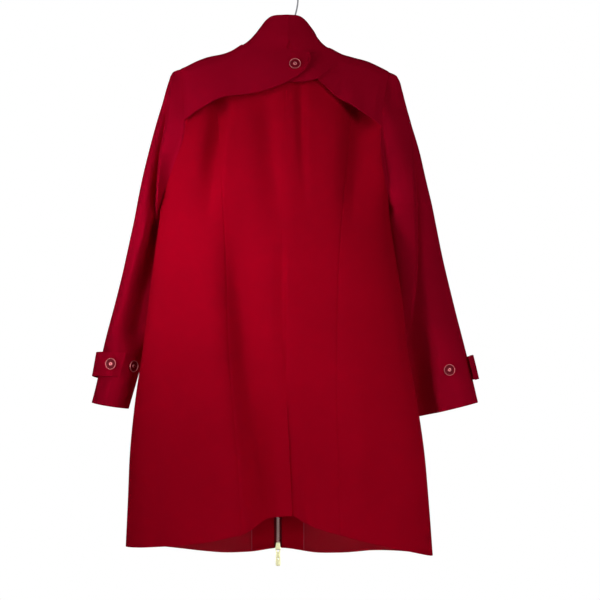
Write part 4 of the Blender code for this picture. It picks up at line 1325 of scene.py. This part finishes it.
def addButton(name, node, spot, normal):
    form = buttonForm
    bm = bmesh.new()
    count = form["segments"]
    rings = []
    for radius, height, _ in form["profile"]:
        if radius == 0:
            rings.append([bm.verts.new((0, 0, height * mm))] * count)
            continue
        angles = np.linspace(0, 2 * math.pi, count, endpoint=False)
        circle = [(radius * math.cos(a), radius * math.sin(a), height) for a in angles]
        rings.append([bm.verts.new(Vector(place) * mm) for place in circle])
    for k in range(len(rings) - 1):
        for i in range(count):
            j = (i + 1) % count
            corners = list(dict.fromkeys([rings[k][i], rings[k][j], rings[k + 1][j], rings[k + 1][i]]))
            face = bm.faces.new(corners)
            face.material_index = form["profile"][k][2]
            face.smooth = True
    sewing = form["thread"]
    turn = Matrix.Rotation(math.radians(sewing["angle"]), 4, "Z")
    around, along = sewing["rings"]
    for offset in (-sewing["apart"], sewing["apart"]):  # two rows of thread across the boss
        place = turn @ Matrix.Translation(Vector((offset, 0, sewing["height"])) * mm)
        place = place @ Matrix.Diagonal((*[half * mm for half in sewing["half"]], 1.0))
        made = bmesh.ops.create_uvsphere(bm, u_segments=around, v_segments=along, radius=1.0, matrix=place)
        for face in {f for v in made["verts"] for f in v.link_faces}:
            face.material_index = 2
            face.smooth = True
    centre = np.asarray(spot) + np.asarray(normal) * (form["shank"] + bodyForm["seamGap"])
    facing = Vector(normal).to_track_quat("Z", "Y").to_matrix().to_4x4()
    bm.transform(Matrix.Translation(Vector(centre) * mm) @ facing)
    bmesh.ops.recalc_face_normals(bm, faces=bm.faces)
    mesh = bpy.data.meshes.new(name)
    bm.to_mesh(mesh)
    bm.free()
    addPiece(name, mesh, [gold, enamel, thread], node)


def addButtons():
    across, drop = [np.array(v) for v in buttonForm["flap"]]
    addButton("flapButton", "button_flap", *flapSpot(left, across, drop, flapForm["wall"]))
    for side in (left, right):
        angle, along = buttonForm["spare"][side]
        spot = sleeveSpot(side, along, math.radians(angle), 0.0)
        addButton("spareButton" + sideName[side], "button_spare_" + sideWord[side], *spot)
        spot = tabSpot(side, np.array(buttonForm["tab"][side]), 0.0, tabForm["wall"])
        addButton("tabButton" + sideName[side], "button_tab_" + sideWord[side], *spot)


addButtons()
print("buttons made")

# Zip: two tapes, a chain of teeth, a slider with a pull tab at each end

zipForm.update(
    toothPitch=3.2,
    toothLength=4.1,
    toothHalfWidth=0.62,
    toothHalfDepth=1.2,
    chainHalf=3.0,
    sliderHalf=7.0,
    sliderEnd=2.0,  # from each end of the zip
    toothGap=1.2,  # from a slider
    pathEnd=1.0,
    pathPoints=40,
    hemDrop=980.0,
    tapeColumns=8,
    tapeCut={"flat": (0.0156, 0.83), "area": 0.0127},
    pullOut=4.3,
    pullDown=2.0,
)
toothForm = {
    "stations": [(0.0, 1.0), (0.45, 0.72), (0.8, 1.0), (1.0, 0.5)],  # place from root to head, width there
    "ring": [(-1, -0.7), (-1, 0.7), (-0.6, 1), (0.6, 1), (1, 0.7), (1, -0.7), (0.6, -1), (-0.6, -1)],
}
Plate = namedtuple("Plate", "corner half soft")  # radius in outline, half thickness, edge radius
sliderForm = {
    "plate": [(-3.3, -7.0), (3.3, -7.0), (4.0, -2.0), (5.0, 3.0), (4.6, 6.4), (1.8, 7.0), (0.0, 5.6),
              (-1.8, 7.0), (-4.6, 6.4), (-5.0, 3.0), (-4.0, -2.0)],
    "plateMade": Plate(0.7, 0.7, 0.25),
    "platePlace": 2.1,
    "post": [(-1.3, -3.6), (0.0, -5.0), (1.3, -3.6), (1.6, 3.0), (0.0, 5.0), (-1.6, 3.0)],
    "postMade": Plate(0.5, 2.1, 0.1),
    "bridge": [(2.3, 4.5), (7.0, 4.5), (7.0, -4.5), (2.3, -4.5), (2.3, -3.0), (5.8, -3.0), (5.8, 3.0),
               (2.3, 3.0)],
    "bridgeMade": Plate(0.55, 1.5, 0.35),
}
pullForm = {
    "outline": [(-3.6, 0.75), (3.6, 0.75), (4.0, -12.0), (4.5, -27.0), (4.0, -33.25), (-4.0, -33.25),
                (-4.5, -27.0), (-4.0, -12.0)],
    "outlineMade": Plate(1.6, 0.7, 0.25),
    "holes": [
        [(-2.2, -0.75), (2.2, -0.75), (2.2, -8.0), (-2.2, -8.0)],  # for the bridge
        [(-1.1, -19.0), (1.1, -19.0), (1.1, -21.5), (-1.1, -21.5)],
    ],
    "holeCorner": 0.9,
    "panel": [(-2.6, -10.6), (2.6, -10.6), (3.0, -16.8), (-3.0, -16.8)],  # a raised plain plate
    "panelMade": Plate(0.8, 0.9, 0.15),
}
metalEdge = {"join": 1e-6, "sharp": 35.0}


def zipPath():
    seam = bodyForm["seams"]
    end = zipForm["pathEnd"]
    top = topDrop(front, seam.at("zip", bodyForm["neckDrop"][front])) + end
    low = bodyForm["hem"][front].at("drop", seam.at("zip", zipForm["hemDrop"])) - end
    drop = np.linspace(low, top, zipForm["pathPoints"])
    turn = turnAt(seam.at("zip", drop), drop)
    normals = bodyNormals(front, turn, drop)
    return bodyPoints(front, turn, drop) - normals * (bodyForm["wall"] + zipForm["behindWall"]), normals


def pathFrames(where):  # places along the zip, each with its axes: across, out of the coat, up
    points, normals = zipPath()
    length = np.concatenate([[0], np.cumsum(np.linalg.norm(np.diff(points, axis=0), axis=1))])
    where = np.where(np.asarray(where) > 0, where, length[-1] + np.asarray(where))
    place, out = [np.stack([np.interp(where, length, grid[:, k]) for k in range(3)], axis=-1)
                  for grid in (points, normals)]
    up = unit(np.gradient(place, axis=0))
    out = unit(out - up * np.sum(out * up, axis=-1, keepdims=True))
    return place, np.cross(out, up), out, up


def rounded(corners, radius, steps=5):
    points = [np.array(corner, float) for corner in corners]
    out = []
    for before, here, after in zip(points[-1:] + points[:-1], points, points[1:] + points[:1]):
        start, end = [here + unit(other - here) * radius for other in (before, after)]
        out += [mix(mix(start, here, t), mix(here, end, t), t) for t in np.linspace(0, 1, steps)]
    return out


def plate(outlines, half, soft):  # a flat piece with soft edges, holes cut by inner outlines
    data = bpy.data.curves.new("plate", "CURVE")
    data.dimensions = "2D"
    data.fill_mode = "BOTH"
    data.extrude = (half - soft) * mm
    data.bevel_depth = soft * mm
    data.bevel_resolution = 2
    data.offset = -soft * mm
    for outline in outlines:
        spline = data.splines.new("POLY")
        spline.points.add(len(outline) - 1)
        for point, (x, y) in zip(spline.points, outline):
            point.co = (x * mm, y * mm, 0, 1)
        spline.use_cyclic_u = True
    holder = bpy.data.objects.new("plate", data)
    bpy.context.scene.collection.objects.link(holder)
    mesh = bpy.data.meshes.new_from_object(holder.evaluated_get(bpy.context.evaluated_depsgraph_get()))
    bpy.data.objects.remove(holder)
    return mesh


def addPlate(bm, outline, made, axes, centre, holes=()):
    mesh = plate([rounded(outline, made.corner), *holes], made.half, made.soft)
    place = Matrix([[*row, 0] for row in np.stack(axes, axis=1)] + [[0, 0, 0, 1]])
    place.translation = Vector(centre) * mm
    mesh.transform(place)
    bm.from_mesh(mesh)
    bpy.data.meshes.remove(mesh)


def finishMetal(name, bm, material, node, body="coat"):
    bmesh.ops.remove_doubles(bm, verts=bm.verts, dist=metalEdge["join"])
    bmesh.ops.recalc_face_normals(bm, faces=bm.faces)
    mesh = bpy.data.meshes.new(name)
    bm.to_mesh(mesh)
    bm.free()
    mesh.shade_smooth()
    mesh.set_sharp_from_angle(angle=math.radians(metalEdge["sharp"]))
    addPiece(name, mesh, [material], node, body)


def addTeeth():
    half = zipForm["sliderHalf"]
    points, _ = zipPath()
    length = np.sum(np.linalg.norm(np.diff(points, axis=0), axis=1))
    clear = zipForm["sliderEnd"] + half + zipForm["toothGap"]
    start, end = clear, length - clear - half
    count = int((end - start) / zipForm["toothPitch"] * 2)
    place, side, out, up = pathFrames(np.linspace(start, end, count))
    reach, wide, deep = zipForm["chainHalf"], zipForm["toothHalfWidth"], zipForm["toothHalfDepth"]
    bm = bmesh.new()
    for k in range(count):
        turned = 1 if k % 2 else -1
        root, head = -turned * reach, turned * (zipForm["toothLength"] - reach)
        rings = []
        for along, share in toothForm["stations"]:
            ring = []
            for a, b in toothForm["ring"]:
                middle = place[k] + side[k] * mix(root, head, along)
                ring.append(bm.verts.new((middle + up[k] * a * wide * share + out[k] * b * deep) * mm))
            rings.append(ring)
        for low, high in zip(rings[:-1], rings[1:]):
            for i in range(len(low)):
                j = (i + 1) % len(low)
                bm.faces.new([low[i], low[j], high[j], high[i]])
        bm.faces.new(rings[0][::-1])
        bm.faces.new(rings[-1])
    finishMetal("zipTeeth", bm, zipMetal, "zip_chain")


def addSlider(word, centre, side, out, up):
    turned = -1 if word == "bottom" else 1  # the mouths of the two sliders face each other
    bm = bmesh.new()
    axes = (side * turned, up * turned, -out)
    form = sliderForm
    for depth in (-form["platePlace"], form["platePlace"]):
        addPlate(bm, form["plate"], form["plateMade"], axes, centre + out * depth)
    addPlate(bm, form["post"], form["postMade"], axes, centre)
    addPlate(bm, form["bridge"], form["bridgeMade"], (out, up, side), centre)
    finishMetal("zipSlider" + word.title(), bm, paintedGlarePullMetal, "zip_slider_" + word)


def addPull(word, axis, side, out, up):
    bm = bmesh.new()
    form = pullForm
    holes = [rounded(hole, form["holeCorner"])[::-1] for hole in form["holes"]]
    axes = (side, up, -out)
    addPlate(bm, form["outline"], form["outlineMade"], axes, axis, holes)
    addPlate(bm, form["panel"], form["panelMade"], axes, axis)
    finishMetal("zipPull" + word.title(), bm, paintedGlarePullMetal, "zip_pull_" + word, "pull_" + word)


def addZip():
    for side in (left, right):
        ends = [seamTurn("zip", side * zipForm[edge]) for edge in ("tapeWidth", "tapeEdge")][::-side]
        turn, drop = bodyGrid(front, *ends, steps(zipForm["tapeColumns"]))
        drop = drop + np.linspace(zipForm["tapeGap"], -zipForm["tapeGap"], len(drop))[:, None]
        sunk = bodyForm["wall"] + zipForm["behindWall"] - zipForm["tapeHalf"]
        grid = sewn(bodyPoints(front, turn, drop) - bodyNormals(front, turn, drop) * sunk)
        addCloth("zipTape" + sideName[side], grid, "zip_tape_" + sideWord[side],
                 tapeCloth, tapeCloth, 2 * zipForm["tapeHalf"])
    addTeeth()
    end = zipForm["sliderEnd"]
    for word, where in (("bottom", end), ("top", -end - zipForm["sliderHalf"])):
        place, side, out, up = [grid[0] for grid in pathFrames(np.array([where - 1, where + 1]))]
        centre = place + up
        addSlider(word, centre, side, out, up)
        addPull(word, centre + out * zipForm["pullOut"] - up * zipForm["pullDown"], side, out, up)


addZip()
print("zip made")

# Hanger

hangerForm = {"smoothing": 2, "join": 1e-6, "flatAngle": 20.0}


def smoothCopy(name, node, material):
    bm = bmesh.new()
    bm.from_mesh(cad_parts[node].data)
    bmesh.ops.remove_doubles(bm, verts=bm.verts, dist=hangerForm["join"])
    flat = math.radians(hangerForm["flatAngle"])
    bmesh.ops.join_triangles(bm, faces=bm.faces, angle_face_threshold=flat, angle_shape_threshold=flat * 2)
    mesh = bpy.data.meshes.new(name)
    bm.to_mesh(mesh)
    bm.free()
    mesh.shade_smooth()
    piece = addPiece(name, mesh, [material], node)
    smooth = piece.modifiers.new("smooth", "SUBSURF")
    smooth.levels = smooth.render_levels = hangerForm["smoothing"]


smoothCopy("hangerBar", "hanger_bar", hangerPlastic)
smoothCopy("hangerHook", "hanger_hook", steel)
print("hanger made")

# Floor, light and backdrop

stageForm = {"floorHeight": -1.5, "floorSize": 5.0, "backdrop": 1.0, "ambient": 0.01, "mirrored": 0.85}
floorLook = {
    "dark": (0.86, 0.86, 0.86),
    "light": (0.92, 0.92, 0.92),
    "rough": 0.8,
    "roughSpread": 0.2,
    "gloss": 0.2,
    "grainScale": 3.0,
    "relief": 0.0005,
    "bump": 0.3,
}
Light = namedtuple("Light", "place size power target spread")
lights = {
    "keyLight": Light((-0.69, -0.64, -0.5), 0.4, 0.46, (-0.05, 0, -0.4), 50.0),
    "upperKeyLight": Light((-0.69, -0.64, 0.2), 0.3, 0.15, (-0.09, 0, -0.42), 44.0),
    "leftLight": Light((-2.77, -1.6, 0.3), 1.5, 13.3, (0, 0, -0.5), 180.0),
    "rightLight": Light((2.06, -2.45, 0.8), 1.5, 31.0, (0, 0, -0.5), 180.0),
    "lowLeftLight": Light((-2.26, -2.26, -1.2), 0.6, 0.24, (0.02, 0, -0.9), 16.0),
    "lowMiddleLight": Light((1.09, -3.01, -1.2), 0.6, 0.08, (0.0, 0, -0.88), 16.0),
    "lowRightLight": Light((2.45, -2.06, -1.2), 0.6, 0.16, (-0.04, 0, -0.9), 16.0),
    "frontLight": Light((-0.1, 2.7, 0.6), 0.8, 40.0, (0, 0, -0.5), 180.0),
}


def addStage():
    half = stageForm["floorSize"] / 2
    mesh = bpy.data.meshes.new("floor")
    corners = [(-half, -half, 0), (half, -half, 0), (half, half, 0), (-half, half, 0)]
    mesh.from_pydata(corners, [], [(0, 1, 2, 3)])
    mesh.materials.append(newMaterial("pale floor", plasticShader, floorLook))
    floor = bpy.data.objects.new("floor", mesh)
    floor.location = (0, 0, stageForm["floorHeight"])
    bpy.context.scene.collection.objects.link(floor)
    for name, light in lights.items():
        data = bpy.data.lights.new(name, "AREA")
        data.size = light.size
        data.energy = light.power
        data.spread = math.radians(light.spread)
        lamp = bpy.data.objects.new(name, data)
        lamp.location = light.place
        toCoat = Vector(light.target) - Vector(light.place)
        lamp.rotation_euler = toCoat.to_track_quat("-Z", "Y").to_euler()
        lamp.visible_camera = False
        bpy.context.scene.collection.objects.link(lamp)


def addWorld():
    world = bpy.data.worlds.new("studio")
    bpy.context.scene.world = world
    world.use_nodes = True
    world.node_tree.nodes.clear()
    w = Wire(world.node_tree)
    seen, mirrored = [w.node("LightPath", out=ray) for ray in ("Is Camera Ray", "Is Glossy Ray")]
    ambient = stageForm["ambient"]
    brighter = [stageForm[word] - ambient for word in ("backdrop", "mirrored")]
    strength = ambient + seen * brighter[0] + mirrored * brighter[1]
    glow = w.node("Background", None, {"Color": (1, 1, 1, 1), "Strength": strength})
    w.node("OutputWorld", None, {"Surface": glow})
    bpy.context.scene.view_settings.view_transform = "Standard"


addStage()
addWorld()
print("stage made")

print("cloth areas:", {name: round(area, 4) for name, area in sheetCuts.items()})
